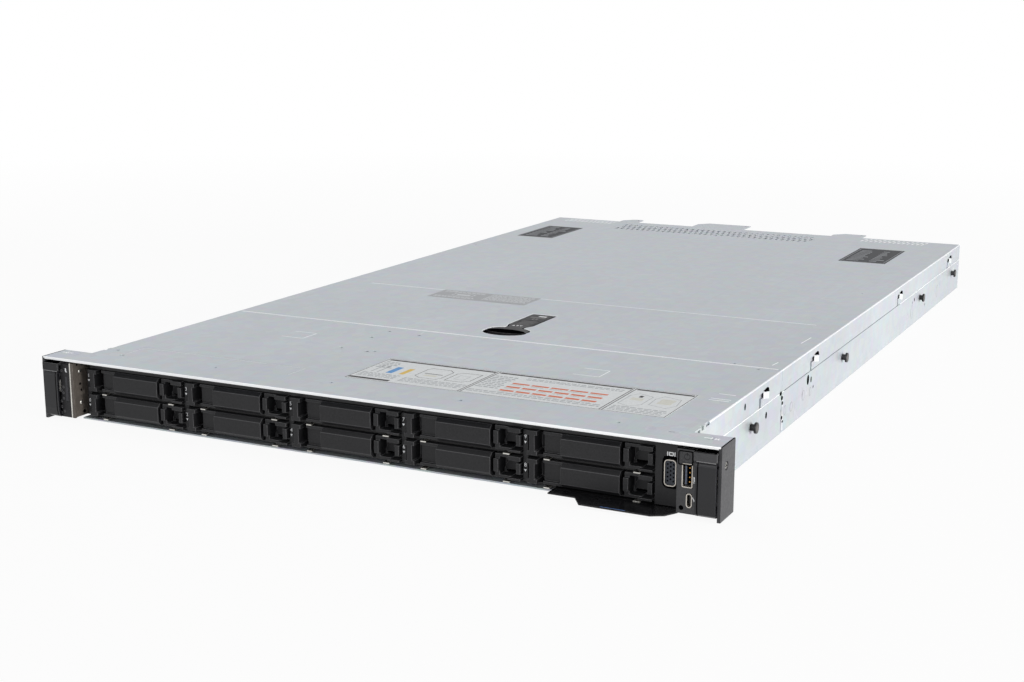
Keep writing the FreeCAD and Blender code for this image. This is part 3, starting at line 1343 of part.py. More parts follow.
def power_supply_latch():
    """The release lever beside the inlet, on its upright pin."""
    middle = "(plate + fit_gap + supply_height/2)"
    levels = (middle + " - supply_latch_height/2", middle + " + supply_latch_height/2")
    place = ("supply_outer - supply_latch_inset", "rear_face + supply_latch_inset")
    tip = "%s + supply_latch_length" % place[1]
    eye = rod("supply_latch_hub", "z", place, levels, "supply_latch_eye")
    arm = block("supply_latch_arm",
                (place[0] + " - supply_latch_thickness/2", place[0] + " + supply_latch_thickness/2"),
                (place[1], tip), levels)
    pad = block("supply_latch_pad", (place[0] + " - supply_latch_pad_width", place[0]),
                (tip + " - supply_latch_pad_length", tip), levels)
    bore = rod("supply_latch_bore", "z", place, (levels[0] + " - 1", levels[1] + " + 1"),
               "supply_latch_pin + latch_running_gap")
    return cut("supply_latch", fuse("supply_latch_solid", [eye, arm, pad]), [bore])


def power_supply_rotor():
    """The supply's own fan rotor, behind its guard."""
    fan_x = "(supply_outer - supply_width + supply_fan_middle)"
    middle = "(plate + fit_gap + supply_height/2)"
    hub_span = ("rear_face - supply_fan_depth + fit_gap", "rear_face - supply_guard - 1")
    front = size("rear_face") - size("supply_fan_depth") + size("fit_gap") + size("supply_rotor_lead")
    blades = blade_ring("supply_blades", size("supply_hub"), size("supply_blade_radius"), front,
                        size("supply_fan_depth") / 2, size("fan_blade_thickness"), middle)
    blades.setExpression(".Placement.Base.x", bound(fan_x))
    hub = rod("supply_rotor_hub", "y", (fan_x, middle), hub_span, "supply_hub", 16)
    return fuse("supply_rotor", [hub, blades])


def power_supplies():
    """Two equal supplies, one in each rear corner, with their latches and rotors."""
    shift = "-(2*supply_outer - supply_width)"
    masters = (("power_supply", power_supply()), ("supply_latch", power_supply_latch()),
               ("supply_rotor", power_supply_rotor()))
    for name, master in masters:
        node("right_" + name, copy_at("copy_right_" + name, master))
        node("left_" + name, copy_at("copy_left_" + name, master, x=shift))


def build():
    """Make every sub-part."""
    chassis_tray()
    side_studs()
    front_plate()
    bay_cover()
    system_cover()
    latch_pan()
    cover_latch()
    latch_lock()
    right_ear = ear_bracket()
    node("right_ear_bracket", right_ear)
    node("left_ear_bracket", mirrored("ear_left", right_ear))
    rack_screws()
    right_control_housing()
    left_status_housing()
    right_slam = slam_latch()
    node("right_slam_latch", right_slam)
    node("left_slam_latch", mirrored("slam_left", right_slam))
    power_button()
    usb_ports()
    vga_front()
    drive_blanks()
    drive_cage()
    backplane()
    info_tag()
    fan_frames()
    fan_rotors()
    fan_cage()
    system_board()
    memory_modules()
    processors_and_sinks()
    air_shroud()
    rear_panel()
    rear_ports()
    riser_cage("left_riser_cage", "-riser_outer", "left_riser_width",
               ("-riser_outer + plate", "-riser_outer + plate + left_tongue_width"))
    riser_cage("middle_riser_cage", "-left_riser_inner + riser_gap", "middle_riser_width",
               ("-middle_tongue_left", "-middle_tongue_right"), "tongue_middle_reach")
    riser_cage("right_riser_cage", "middle_riser_right + riser_gap", "right_riser_width",
               ("right_tongue_left", "right_tongue_right"))
    power_supplies()


def export():
    """Check every object, then write one file for each sub-part."""
    doc.recompute()
    for item in doc.Objects:
        if "Invalid" in item.State or "Error" in item.State:
            raise RuntimeError("failed object: %s %s" % (item.Name, item.State))
    os.makedirs("parts", exist_ok=True)
    for piece in nodes:
        if piece.Shape.isNull() or not piece.Shape.isValid() or not piece.Shape.Solids:
            raise RuntimeError("bad shape: " + piece.Label)
    for piece in nodes:
        piece.Shape.exportStep("parts/%s.step" % piece.Label)
    print("%d sub-parts" % len(nodes))


build()
export()
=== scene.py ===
"""Looks of the one-unit rack server: finishes, labels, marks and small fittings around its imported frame.

Places are in millimetres in the frame of the part: X to the right seen from the front, Y to the rear, Z up.
"""
import bmesh
import bpy
import json
import math
import random
from mathutils import Matrix, Vector


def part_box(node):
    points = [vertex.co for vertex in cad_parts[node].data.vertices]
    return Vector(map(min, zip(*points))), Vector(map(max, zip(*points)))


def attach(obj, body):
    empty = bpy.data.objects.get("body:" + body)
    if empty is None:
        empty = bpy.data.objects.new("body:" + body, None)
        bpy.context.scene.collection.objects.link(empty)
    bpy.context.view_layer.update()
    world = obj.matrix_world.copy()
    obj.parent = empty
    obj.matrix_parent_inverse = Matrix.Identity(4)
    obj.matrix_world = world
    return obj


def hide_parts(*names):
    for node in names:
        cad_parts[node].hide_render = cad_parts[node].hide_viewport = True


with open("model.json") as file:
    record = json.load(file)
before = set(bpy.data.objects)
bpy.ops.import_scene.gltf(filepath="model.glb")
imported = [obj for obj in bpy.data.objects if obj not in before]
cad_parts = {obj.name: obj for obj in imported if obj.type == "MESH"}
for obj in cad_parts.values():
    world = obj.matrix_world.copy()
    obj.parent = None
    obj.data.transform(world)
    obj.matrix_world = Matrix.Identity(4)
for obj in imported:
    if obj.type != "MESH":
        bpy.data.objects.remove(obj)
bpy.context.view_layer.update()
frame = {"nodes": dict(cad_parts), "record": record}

MM = 0.001
SHARP = math.radians(34)
BODY_OF = {node: body for body, held in frame["record"]["behaviour"]["bodies"].items() for node in held}
SLOT_OF = {row["node"]: row["material_slot"] for row in frame["record"]["subparts"]}
COLUMNS = 5
ROWS = 2
dice = random.Random(7)


def span(node):
    """A node's lowest and highest corners, in millimetres."""
    low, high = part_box(node)
    return low / MM, high / MM


# Places read off the frame
COVER_LOW = span("system_cover")[0]
BAY_HIGH = span("bay_cover")[1]
STRIP_LOW, STRIP_HIGH = span("front_plate")
HOUSING_LOW = span("right_control_housing")[0]
EAR_LOW, EAR_HIGH = span("right_ear_bracket")
FIRST_LOW = span("drive_blank_01")[0]
TOP = BAY_HIGH.z
STRIP_TOP = STRIP_HIGH.z
TAG_TOP = span("info_tag")[1].z
BAY_PITCH = span("drive_blank_02")[0].x - FIRST_LOW.x
ROW_PITCH = span("drive_blank_06")[0].z - FIRST_LOW.z
WALL = span("chassis_tray")[1].x


def tone(shade):
    """A colour from how it looks on a screen: red, green and blue from 0 to 255."""

    def linear(value):
        share = value / 255
        return share / 12.92 if share < 0.04045 else ((share + 0.055) / 1.055) ** 2.4

    return tuple(linear(value) for value in shade) + (1.0,)


def paler(colour, share, lift=0.0):
    """A colour made lighter by a share and a lift."""
    return tuple(min(1.0, value * share + lift) for value in colour[:3]) + (1.0,)


class Finish:
    """A material in the making: its nodes, its shader and the piece's own coordinates."""

    def __init__(self, name, metallic=0.0, roughness=0.5, specular=0.5, coat=0.0, coat_roughness=0.1):
        self.material = bpy.data.materials.new(name)
        self.material.use_nodes = True
        self.nodes = self.material.node_tree.nodes
        self.links = self.material.node_tree.links
        self.shader = self.nodes["Principled BSDF"]
        self.shader.inputs["Metallic"].default_value = metallic
        self.shader.inputs["Roughness"].default_value = roughness
        self.shader.inputs["Specular IOR Level"].default_value = specular
        self.shader.inputs["Coat Weight"].default_value = coat
        self.shader.inputs["Coat Roughness"].default_value = coat_roughness
        self.place = self.nodes.new("ShaderNodeTexCoord").outputs["Object"]
        self.normal = None

    def stretched(self, across, along, up, turn=0.0):
        """The piece's coordinates, stretched along each axis and turned about Z."""
        mapping = self.nodes.new("ShaderNodeMapping")
        mapping.inputs["Scale"].default_value = (across, along, up)
        mapping.inputs["Rotation"].default_value = (0, 0, math.radians(turn))
        self.links.new(self.place, mapping.inputs["Vector"])
        return mapping.outputs["Vector"]

    def noise(self, scale, detail=3.0, place=None):
        """Cloudy noise, in patches of about one over scale metres."""
        node = self.nodes.new("ShaderNodeTexNoise")
        node.inputs["Scale"].default_value = scale
        node.inputs["Detail"].default_value = detail
        self.links.new(place or self.place, node.inputs["Vector"])
        return node.outputs["Fac"]

    def cells(self, scale, edges=False, place=None):
        """Crystal-like cells: their shade, or the distance to their edges."""
        node = self.nodes.new("ShaderNodeTexVoronoi")
        node.inputs["Scale"].default_value = scale
        self.links.new(place or self.place, node.inputs["Vector"])
        if edges:
            node.feature = "DISTANCE_TO_EDGE"
            return node.outputs["Distance"]
        return node.outputs["Color"]

    def ranged(self, source, low, high, start=0.3, end=0.7):
        """A pattern's values from start to end, spread from low to high."""
        node = self.nodes.new("ShaderNodeMapRange")
        node.inputs["From Min"].default_value = start
        node.inputs["From Max"].default_value = end
        node.inputs["To Min"].default_value = low
        node.inputs["To Max"].default_value = high
        self.links.new(source, node.inputs["Value"])
        return node.outputs["Result"]

    def between(self, source, first, second, start=0.3, end=0.7):
        """A colour that runs from the first to the second with a pattern."""
        ramp = self.nodes.new("ShaderNodeValToRGB")
        ramp.color_ramp.elements[0].position = start
        ramp.color_ramp.elements[0].color = first
        ramp.color_ramp.elements[1].position = end
        ramp.color_ramp.elements[1].color = second
        self.links.new(source, ramp.inputs["Fac"])
        return ramp.outputs["Color"]

    def mixed(self, share, first, second, blend="MIX"):
        """Two colours mixed by a pattern or an even share."""
        node = self.nodes.new("ShaderNodeMixRGB")
        node.blend_type = blend
        for socket, value in (("Fac", share), ("Color1", first), ("Color2", second)):
            if isinstance(value, bpy.types.NodeSocket):
                self.links.new(value, node.inputs[socket])
            else:
                node.inputs[socket].default_value = value
        return node.outputs["Color"]

    def relief(self, source, depth):
        """Raise the surface by a pattern, at most by depth in millimetres."""
        bump = self.nodes.new("ShaderNodeBump")
        bump.inputs["Strength"].default_value = 1.0
        bump.inputs["Distance"].default_value = depth * MM
        self.links.new(source, bump.inputs["Height"])
        if self.normal:
            self.links.new(self.normal, bump.inputs["Normal"])
        self.normal = bump.outputs["Normal"]

    def done(self, colour, roughness=None):
        """Join the colour, the roughness and the relief to the shader."""
        self.links.new(colour, self.shader.inputs["Base Color"])
        if roughness:
            self.links.new(roughness, self.shader.inputs["Roughness"])
        if self.normal:
            self.links.new(self.normal, self.shader.inputs["Normal"])
        return self.material


def galvanised_sheet(name="galvanised_sheet", dark=(174, 180, 186), light=(186, 191, 197)):
    """Zinc-coated sheet: a faint spangle, rolling lines along the sheet, smudges and a few hair scratches."""
    finish = Finish(name, metallic=0.5, specular=0.25)
    clouds = finish.noise(7, 4)
    spangle = finish.cells(160)
    rolling = finish.noise(1, 2, finish.stretched(900, 12, 900))
    base = finish.between(clouds, tone(dark), tone(light))
    base = finish.mixed(0.05, base, spangle, "OVERLAY")
    base = finish.mixed(finish.ranged(rolling, 0.0, 0.16), base, tone([value - 16 for value in dark]))
    for turn, scale in ((28, 7), (-34, 5)):
        lines = finish.cells(scale, edges=True, place=finish.stretched(1, 9, 1, turn))
        hair = finish.ranged(lines, 1.0, 0.0, 0.0, 0.006)
        patch = finish.ranged(finish.noise(9 + scale, 2), 0.0, 0.22, 0.56, 0.64)
        share = finish.mixed(1.0, hair, patch, "MULTIPLY")
        base = finish.mixed(share, base, tone((232, 236, 240)))
    finish.relief(rolling, 0.006)
    finish.relief(finish.noise(2600, 2), 0.006)
    return finish.done(base, finish.ranged(clouds, 0.36, 0.48))


def moulded_plastic(name, dark, light, grain=1100, depth=0.035, rough=(0.42, 0.56), specular=0.3):
    """Moulded plastic with a fine spark-eroded grain."""
    finish = Finish(name, specular=specular)
    spots = finish.noise(grain, 3)
    clouds = finish.noise(40, 3)
    speckled = finish.between(spots, tone(dark), tone(light))
    base = finish.mixed(finish.ranged(clouds, 0.0, 0.5), speckled, tone(light))
    finish.relief(spots, depth)
    return finish.done(base, finish.ranged(clouds, *rough))


def powder_coat(name, dark, light):
    """Powder-coated steel with its fine orange peel."""
    finish = Finish(name, metallic=0.15, specular=0.5)
    peel = finish.noise(700, 2)
    dust = finish.noise(60, 4)
    finish.relief(peel, 0.03)
    finish.relief(finish.noise(3500, 1), 0.006)
    return finish.done(finish.between(dust, tone(dark), tone(light)), finish.ranged(peel, 0.38, 0.5))


def machined_metal(name, dark, light, rough=(0.2, 0.34)):
    """Turned or plated metal with fine lathe marks."""
    finish = Finish(name, metallic=0.95, specular=0.5)
    marks = finish.noise(1, 2, finish.stretched(700, 4200, 700))
    stain = finish.noise(90, 4)
    finish.relief(marks, 0.004)
    return finish.done(finish.between(stain, tone(dark), tone(light)), finish.ranged(marks, *rough))


def printed(name, shade, rough=0.5, specular=0.08):
    """Ink or film: an even colour with the slight mottling of print."""
    finish = Finish(name, specular=specular)
    colour = tone(shade)
    mottle = finish.noise(900, 3)
    finish.relief(finish.noise(300, 2), 0.004)
    return finish.done(finish.between(mottle, colour, paler(colour, 1.16, 0.004)),
                       finish.ranged(mottle, rough - 0.05, rough + 0.05))


def circuit_board():
    """Green board with its traces under the mask."""
    finish = Finish("circuit_board", specular=0.5)
    traces = finish.cells(420, edges=True, place=finish.stretched(1, 0.25, 1))
    pads = finish.cells(900)
    traced = finish.ranged(traces, 1.0, 0.0, 0.02, 0.08)
    base = finish.mixed(traced, tone((22, 74, 48)), tone((46, 118, 74)))
    base = finish.mixed(0.12, base, pads, "OVERLAY")
    finish.relief(traces, 0.02)
    return finish.done(base, finish.ranged(finish.noise(50, 2), 0.3, 0.42))


def clear_light(name, shade):
    """A small lens over a status light, unlit."""
    finish = Finish(name, specular=0.6, coat=0.6)
    colour = tone(shade)
    swirl = finish.noise(500, 2)
    return finish.done(finish.between(swirl, colour, paler(colour, 1.3)), finish.ranged(swirl, 0.12, 0.2))


# Finishes, with the darkest and the lightest shade of each
ZINC = galvanised_sheet()
# Lighter zinc that paints highlights on the hem, rounded folds, pressed lines and arrows.
ZINC_HIGHLIGHT = galvanised_sheet("zinc_edge_highlight", (238, 240, 242), (250, 251, 252))
LEG = moulded_plastic("ear_leg_plate", (78, 73, 68), (96, 90, 84), 500, 0.04)
# Lighter zinc that paints the highlight on rounded folds and on lit patches of the side walls.
FOLD_HIGHLIGHT = galvanised_sheet("fold_highlight_zinc", (212, 215, 219), (224, 227, 230))
WELD = galvanised_sheet("welded_zinc", (150, 155, 160), (160, 165, 170))
# A pale moulding that paints the highlight along each quick latch's crease.
CREASE_HIGHLIGHT = moulded_plastic("latch_crease_highlight", (108, 108, 110), (126, 126, 128))
PANEL = moulded_plastic("latch_panel_moulding", (84, 84, 85), (106, 106, 107), 900, 0.05, specular=0.1)
BLACK = moulded_plastic("black_moulding", (17, 17, 19), (32, 32, 34))
# Lighter mouldings for rounded edges, which paint the edges' highlights.
BLACK_HIGHLIGHT_EDGE = moulded_plastic("black_edge_highlight", (58, 58, 60), (76, 76, 78))
STRIP_HIGHLIGHT_EDGE = moulded_plastic("control_strip_edge_highlight", (84, 84, 86), (100, 100, 102))
SLAM_HIGHLIGHT_EDGE = moulded_plastic("latch_edge_highlight", (56, 56, 60), (76, 76, 80))
LEVER = moulded_plastic("lever_moulding", (30, 30, 32), (44, 44, 46), specular=0.12)
# Near-black with no reflection: painted shade in holes, gaps, slots and recesses, and the ears' dark edge
# along the strip's ends.
SHADE_BLACK = moulded_plastic("hollow_shadow", (2, 2, 3), (5, 5, 6), specular=0.0)
STRIP = moulded_plastic("control_strip_moulding", (52, 52, 54), (68, 68, 70))
CAGE = powder_coat("cage_black", (14, 14, 16), (22, 22, 24))
SLAM = moulded_plastic("latch_moulding", (14, 14, 17), (26, 26, 30), 1400, 0.02, (0.26, 0.36), 0.4)
EAR = powder_coat("ear_coat", (40, 40, 43), (52, 52, 55))
GREY = moulded_plastic("grey_moulding", (120, 122, 124), (142, 144, 146))
TAG = moulded_plastic("tag_moulding", (18, 18, 20), (28, 28, 30), 1600, 0.012, (0.2, 0.3))
STUD = machined_metal("stud_steel", (46, 45, 46), (72, 71, 72), (0.3, 0.42))
STUD_FACE = machined_metal("stud_face", (96, 93, 92), (122, 118, 116), (0.4, 0.5))
BRIGHT = machined_metal("bright_steel", (186, 184, 178), (224, 222, 216))
PORT = machined_metal("port_shell", (172, 167, 159), (204, 198, 190), (0.36, 0.48))
GOLD = machined_metal("gold_contact", (150, 104, 48), (206, 156, 84), (0.24, 0.36))
SINK = machined_metal("extruded_aluminium", (178, 181, 184), (208, 210, 212), (0.3, 0.42))
INSERT = moulded_plastic("port_insert", (8, 8, 9), (16, 16, 17), 1800, 0.01)
TONGUE = moulded_plastic("port_tongue", (82, 88, 104), (104, 112, 128), 1800, 0.01)
ORANGE = moulded_plastic("release_plastic", (178, 78, 38), (204, 98, 54))
BOARD = circuit_board()
SOCKET = moulded_plastic("socket_plastic", (36, 40, 48), (52, 56, 64))
PAPER = printed("label_stock", (214, 217, 219))
INK = printed("label_ink_dark", (44, 42, 44))
INK_PALE = printed("label_ink_grey", (158, 162, 166))
INK_FILL = printed("label_ink_tint", (206, 206, 198))
INK_BLUE = printed("label_ink_blue", (92, 146, 200))
INK_YELLOW = printed("label_ink_yellow", (214, 182, 98))
INK_RUST = printed("label_ink_rust", (202, 108, 76))
FILM = printed("grey_film", (160, 162, 166), 0.42)
FILM_MARK = printed("grey_film_mark", (204, 208, 211), 0.42)
PLATE_DARK = printed("dark_label", (66, 67, 70), 0.6)
PLATE_MARK = printed("dark_label_mark", (150, 153, 157), 0.6)
SEAM = printed("seam_shadow", (132, 138, 144))
MARK = printed("white_mark", (224, 226, 228))
STATUS = moulded_plastic("status_lens", (46, 46, 50), (60, 60, 64), 500, 0.02)
MARK_LOW = printed("low_mark", (44, 44, 46))
MARK_DIM = printed("grey_mark", (92, 92, 94))
LINE_BLUE = printed("blue_line", (98, 132, 192))
LENS = clear_light("supply_light_lens", (96, 100, 104))

FINISH_OF_SLOT = {
    "galvanised": ZINC, "aluminium": SINK, "bright_steel": BRIGHT, "black_steel": STUD, "black_paint": EAR,
    "black_plastic": BLACK, "black_gloss": SLAM, "grey_plastic": GREY, "orange_plastic": ORANGE,
    "circuit_board": BOARD,
}


def slab(shape, x, y, z, finish=0):
    """A box between two places along each axis."""
    made = bmesh.ops.create_cube(shape, size=1)["verts"]
    bmesh.ops.scale(shape, vec=(x[1] - x[0], y[1] - y[0], z[1] - z[0]), verts=made)
    bmesh.ops.translate(shape, vec=((x[0] + x[1]) / 2, (y[0] + y[1]) / 2, (z[0] + z[1]) / 2), verts=made)
    paint(made, finish)
    return made


def paint(verts, finish):
    """Give the faces of new vertices one of the piece's finishes."""
    for vert in verts:
        for face in vert.link_faces:
            face.material_index = finish


def disc(shape, centre, axis, radius, depth, sides=24, tip=None, finish=0):
    """A round plate or a cone's foot that stands on a place, along an axis."""
    made = bmesh.ops.create_cone(shape, cap_ends=True, segments=sides, radius1=radius,
                                 radius2=radius if tip is None else tip, depth=depth)["verts"]
    turn = Vector((0, 0, 1)).rotation_difference(Vector(axis)).to_matrix()
    bmesh.ops.rotate(shape, cent=(0, 0, 0), matrix=turn, verts=made)
    bmesh.ops.translate(shape, vec=Vector(centre) + Vector(axis).normalized() * depth / 2, verts=made)
    paint(made, finish)
    return made


def dome(shape, centre, radius, squash):
    """A ball, flattened along Z."""
    made = bmesh.ops.create_uvsphere(shape, u_segments=20, v_segments=10, radius=radius)["verts"]
    bmesh.ops.scale(shape, vec=(1, 1, squash), verts=made)
    bmesh.ops.translate(shape, vec=centre, verts=made)


def turn_about(shape, verts, degrees, axis, centre=(0, 0, 0)):
    """Turn some vertices about a place, round the axis X, Y or Z."""
    bmesh.ops.rotate(shape, cent=centre, matrix=Matrix.Rotation(math.radians(degrees), 3, axis), verts=verts)


def score(shape, place, axis):
    """Divide the faces where a plane at a place along an axis meets them."""
    axis = Vector(axis)
    bmesh.ops.bisect_plane(shape, geom=shape.verts[:] + shape.edges[:] + shape.faces[:], dist=0.001,
                           plane_co=axis * place, plane_no=axis)


def each_once(items):
    """The items in their order, without repeats."""
    return list(dict.fromkeys(items))


def rim(shape, middle, front, back, size, corner, wall):
    """A rounded ring that faces the front: its middle, width and height, corner radius and wall."""
    made = bmesh.ops.create_grid(shape, x_segments=1, y_segments=1, size=0.5)["verts"]
    bmesh.ops.scale(shape, vec=(size[0], size[1], 1), verts=made)
    rounded = bmesh.ops.bevel(shape, geom=made, offset=corner, segments=5, profile=0.5, affect="VERTICES",
                              material=-1)
    face = [face for face in shape.faces if set(face.verts) & set(rounded["verts"])][0]
    bmesh.ops.inset_individual(shape, faces=[face], thickness=wall, use_even_offset=True)
    ring = each_once(side for vert in face.verts for side in vert.link_faces if side != face)
    bmesh.ops.delete(shape, geom=[face], context="FACES_ONLY")
    raised = bmesh.ops.extrude_face_region(shape, geom=ring)["geom"]
    tops = [item for item in raised if isinstance(item, bmesh.types.BMVert)]
    bmesh.ops.translate(shape, vec=(0, 0, back - front), verts=tops)
    verts = each_once([vert for side in ring for vert in side.verts] + tops)
    turn_about(shape, verts, -90, "X")
    bmesh.ops.translate(shape, vec=(middle[0], front, middle[1]), verts=verts)


def settle(name, shape, finishes, body, edge=0.0, segments=2, closed=True, edge_highlight=-1):
    """Make a piece of a finished shape: metres, finishes, shading, a small edge radius and its body."""
    if closed:
        bmesh.ops.recalc_face_normals(shape, faces=shape.faces)
    bmesh.ops.scale(shape, vec=(MM, MM, MM), verts=shape.verts)
    mesh = bpy.data.meshes.new(name)
    shape.to_mesh(mesh)
    shape.free()
    piece = bpy.data.objects.new(name, mesh)
    bpy.context.scene.collection.objects.link(piece)
    for finish in finishes:
        mesh.materials.append(finish)
    mesh.polygons.foreach_set("use_smooth", [True] * len(mesh.polygons))
    mesh.set_sharp_from_angle(angle=SHARP)
    if edge:
        rounding = piece.modifiers.new("edges", "BEVEL")
        rounding.width = edge * MM
        rounding.segments = segments
        rounding.limit_method = "ANGLE"
        rounding.angle_limit = SHARP
        rounding.harden_normals = True
        # When given, the bevel's faces take the finish at this index, a lighter one that paints the edge
        # highlight.
        rounding.material = edge_highlight
    flat_faces = piece.modifiers.new("flat_faces", "WEIGHTED_NORMAL")
    flat_faces.keep_sharp = True
    flat_faces.weight = 100
    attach(piece, body)
    return piece


def own_shape(node):
    """A node's own mesh as whole faces, in millimetres."""
    shape = bmesh.new()
    shape.from_mesh(frame["nodes"][node].data)
    bmesh.ops.scale(shape, vec=(1 / MM,) * 3, verts=shape.verts)
    bmesh.ops.remove_doubles(shape, verts=shape.verts, dist=0.004)
    if node in ("bay_cover", "system_cover"):
        shape.normal_update()
        mitres = [face for face in shape.faces if abs(face.normal.x) > 0.3 and abs(face.normal.z) > 0.3]
        bmesh.ops.delete(shape, geom=mitres, context="FACES")
    bmesh.ops.dissolve_limit(shape, angle_limit=math.radians(1), verts=shape.verts, edges=shape.edges)
    return shape


def pierce(shape, cutters):
    """Cut the second shape's bodies out of the first."""
    held = []
    for name, source in (("sheet", shape), ("cutters", cutters)):
        mesh = bpy.data.meshes.new(name)
        source.to_mesh(mesh)
        source.free()
        item = bpy.data.objects.new(name, mesh)
        bpy.context.scene.collection.objects.link(item)
        held.append(item)
    sheet, cutter = held
    trim = sheet.modifiers.new("trim", "BOOLEAN")
    trim.operation = "DIFFERENCE"
    trim.solver = "EXACT"
    trim.use_self = True
    trim.object = cutter
    trimmed = bpy.data.meshes.new_from_object(sheet.evaluated_get(bpy.context.evaluated_depsgraph_get()))
    result = bmesh.new()
    result.from_mesh(trimmed)
    for item in held:
        bpy.data.objects.remove(item)
    bmesh.ops.remove_doubles(result, verts=result.verts, dist=0.004)
    return result


def round_folds(shape, chosen, radius, segments=4, finish=1):
    """Round the sheet's folds, the edges that the rule chooses, and give them another finish, a lighter one
    that paints the fold's highlight.
    """
    folds = [edge for edge in shape.edges if chosen(edge)]
    made = bmesh.ops.bevel(shape, geom=folds, offset=radius, segments=segments, profile=0.5, affect="EDGES",
                           material=-1)
    for face in made["faces"]:
        face.material_index = finish


def dress(node, edge=0.15, finishes=None, shape=None, segments=2, edge_highlight=-1):
    """Stand a node's own shape in its place, with its edges rounded and its finish on."""
    finishes = finishes or [FINISH_OF_SLOT[SLOT_OF[node]]]
    piece = settle(node + "_finished", shape or own_shape(node), finishes, BODY_OF[node], edge,
                   segments, closed=False, edge_highlight=edge_highlight)
    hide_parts(node)


# Holes, dimples and seams of the top sheets: place and radius, or the two ends along each axis
STRIP_HOLES = [(-194.3, 4.4, 1.4), (-26.0, 4.0, 1.2), (67.5, 2.4, 1.3), (171.3, -0.3, 1.3),
               (-116.0, 4.0, 1.1)]
STRIP_SLOT = ((203.4, 207.2), (-5.6, -4.2))
STRIP_DIMPLES = [(192.3, -3.5, 3.6), (229.3, -7.0, 3.4), (-235.0, -3.4, 3.0), (-223.7, -6.5, 3.0)]
# The coated width at the strip's ends, and the rear end of its edge line over the ears
STRIP_END = 0.9
STRIP_EAR_BACK = -0.6
# Holes, the latch opening, the reach of the seams and the pressed marks of the covers
BAY_HOLES = [(-53, 89, 1.5), (-75, 91, 1.4), (-48, 91.5, 1.1), (-74, 129, 1.3), (-73, 152, 1.2),
             (-47, 150, 1.2), (-207.8, 15.7, 1.2), (202, 160.5, 1.1)]
MAIN_HOLES = [(183, 168.6, 1.1), (-210, 540, 1.2), (196, 452, 1.1)]
OPENING_REACH = 24
OPENING = (170, 264)
COVER_REACH = 214
TONGUE_SEAM = [(-196, 9.5), (-196, 29.6), (-63, 29.6), (-63, 9.5)]
BAY_BRACKETS = ((-134, 104), (100, 94))
BRACKET = 18

# Holes, welds and the seam of the side walls: places along Y and up Z, with radii or half sizes
WALL_HOLES = [(132, 19.5, 1.3), (548, 20.5, 1.1), (240, 14.5, 1.2), (600, 9.5, 1.2)]
LONG_HOLE = (226, 22.4)
WALL_SEAM = 165
SEAM_TEETH = (8, 15.5, 24.5)
SPOT_WELDS = [(180, 12), (195, 9.5), (212, 17), (222, 15.5), (530, 12), (660, 17.5)]
LEDGE_BRIGHT = (170, 500)
HOOK_LANCES = {"chassis": (131.2,), "cover": (245.5, 501.5, 706.5)}
# Ovals painted near-black as the shade in holes, then the welds' ovals: places along Y and up Z, half width
# and half height.
DARK_OVALS = [(226, 22.6, 2.5, 3.5), (233.7, 21.2, 1.3, 2.1), (132.4, 20.2, 1.6, 2.2),
              (555.5, 21.6, 1.2, 1.6), (162.8, 27.4, 2.2, 1.4), (166.0, 23.6, 1.9, 1.5),
              (167.0, 20.0, 1.6, 1.3), (166.2, 10.2, 1.8, 1.3), (168.4, 7.2, 1.4, 0.9)]
WELD_OVALS = [(216, 13.9, 3.2, 3.7), (232.8, 12.8, 2.8, 3.2), (187.7, 12.7, 3.2, 3.4),
              (173.5, 13.7, 2.6, 3.6), (547.2, 12.2, 4.4, 6.2), (652.3, 13.2, 4.2, 5.8)]
STUD_PLACES = (101.7, 315.7, 576.5, 715.9)
STUD_HEIGHT = 19.9


def along_y(edge, height):
    """True for a long edge that runs front to back at the sheet's outer corner."""
    first, second = (vert.co for vert in edge.verts)
    long = abs(first.y - second.y) > 20 and abs(first.x - second.x) < 0.1
    outer = min(abs(first.x), abs(second.x)) > WALL - 0.2
    return long and outer and min(first.z, second.z) > height - 0.2


def stroke(shape, start, end, width, heights, finish, before, after):
    """A straight bar of a width from one place to another, with what it runs past each end."""
    along = Vector((end[0] - start[0], end[1] - start[1], 0))
    made = slab(shape, (-before, along.length + after), (-width / 2, width / 2), heights, finish)
    turn = Matrix.Rotation(math.atan2(along.y, along.x), 3, "Z")
    bmesh.ops.rotate(shape, cent=(0, 0, 0), matrix=turn, verts=made)
    bmesh.ops.translate(shape, vec=(start[0], start[1], 0), verts=made)


def line(shape, start, end, width, finish, level=TOP):
    """A thin straight line that stands a hair above the top sheets, between two places."""
    stroke(shape, start, end, width, (level - 0.02, level + 0.03), finish, width / 2, width / 2)


def around_latch(edge):
    """True for the top edges of the latch opening."""
    places = [vert.co for vert in edge.verts]
    front, back = OPENING
    near = all(abs(place.x) < OPENING_REACH and front < place.y < back and place.z > TOP - 0.05
               for place in places)
    corner = len(edge.link_faces) == 2 and min(abs(face.normal.z) for face in edge.link_faces) < 0.5
    return near and corner


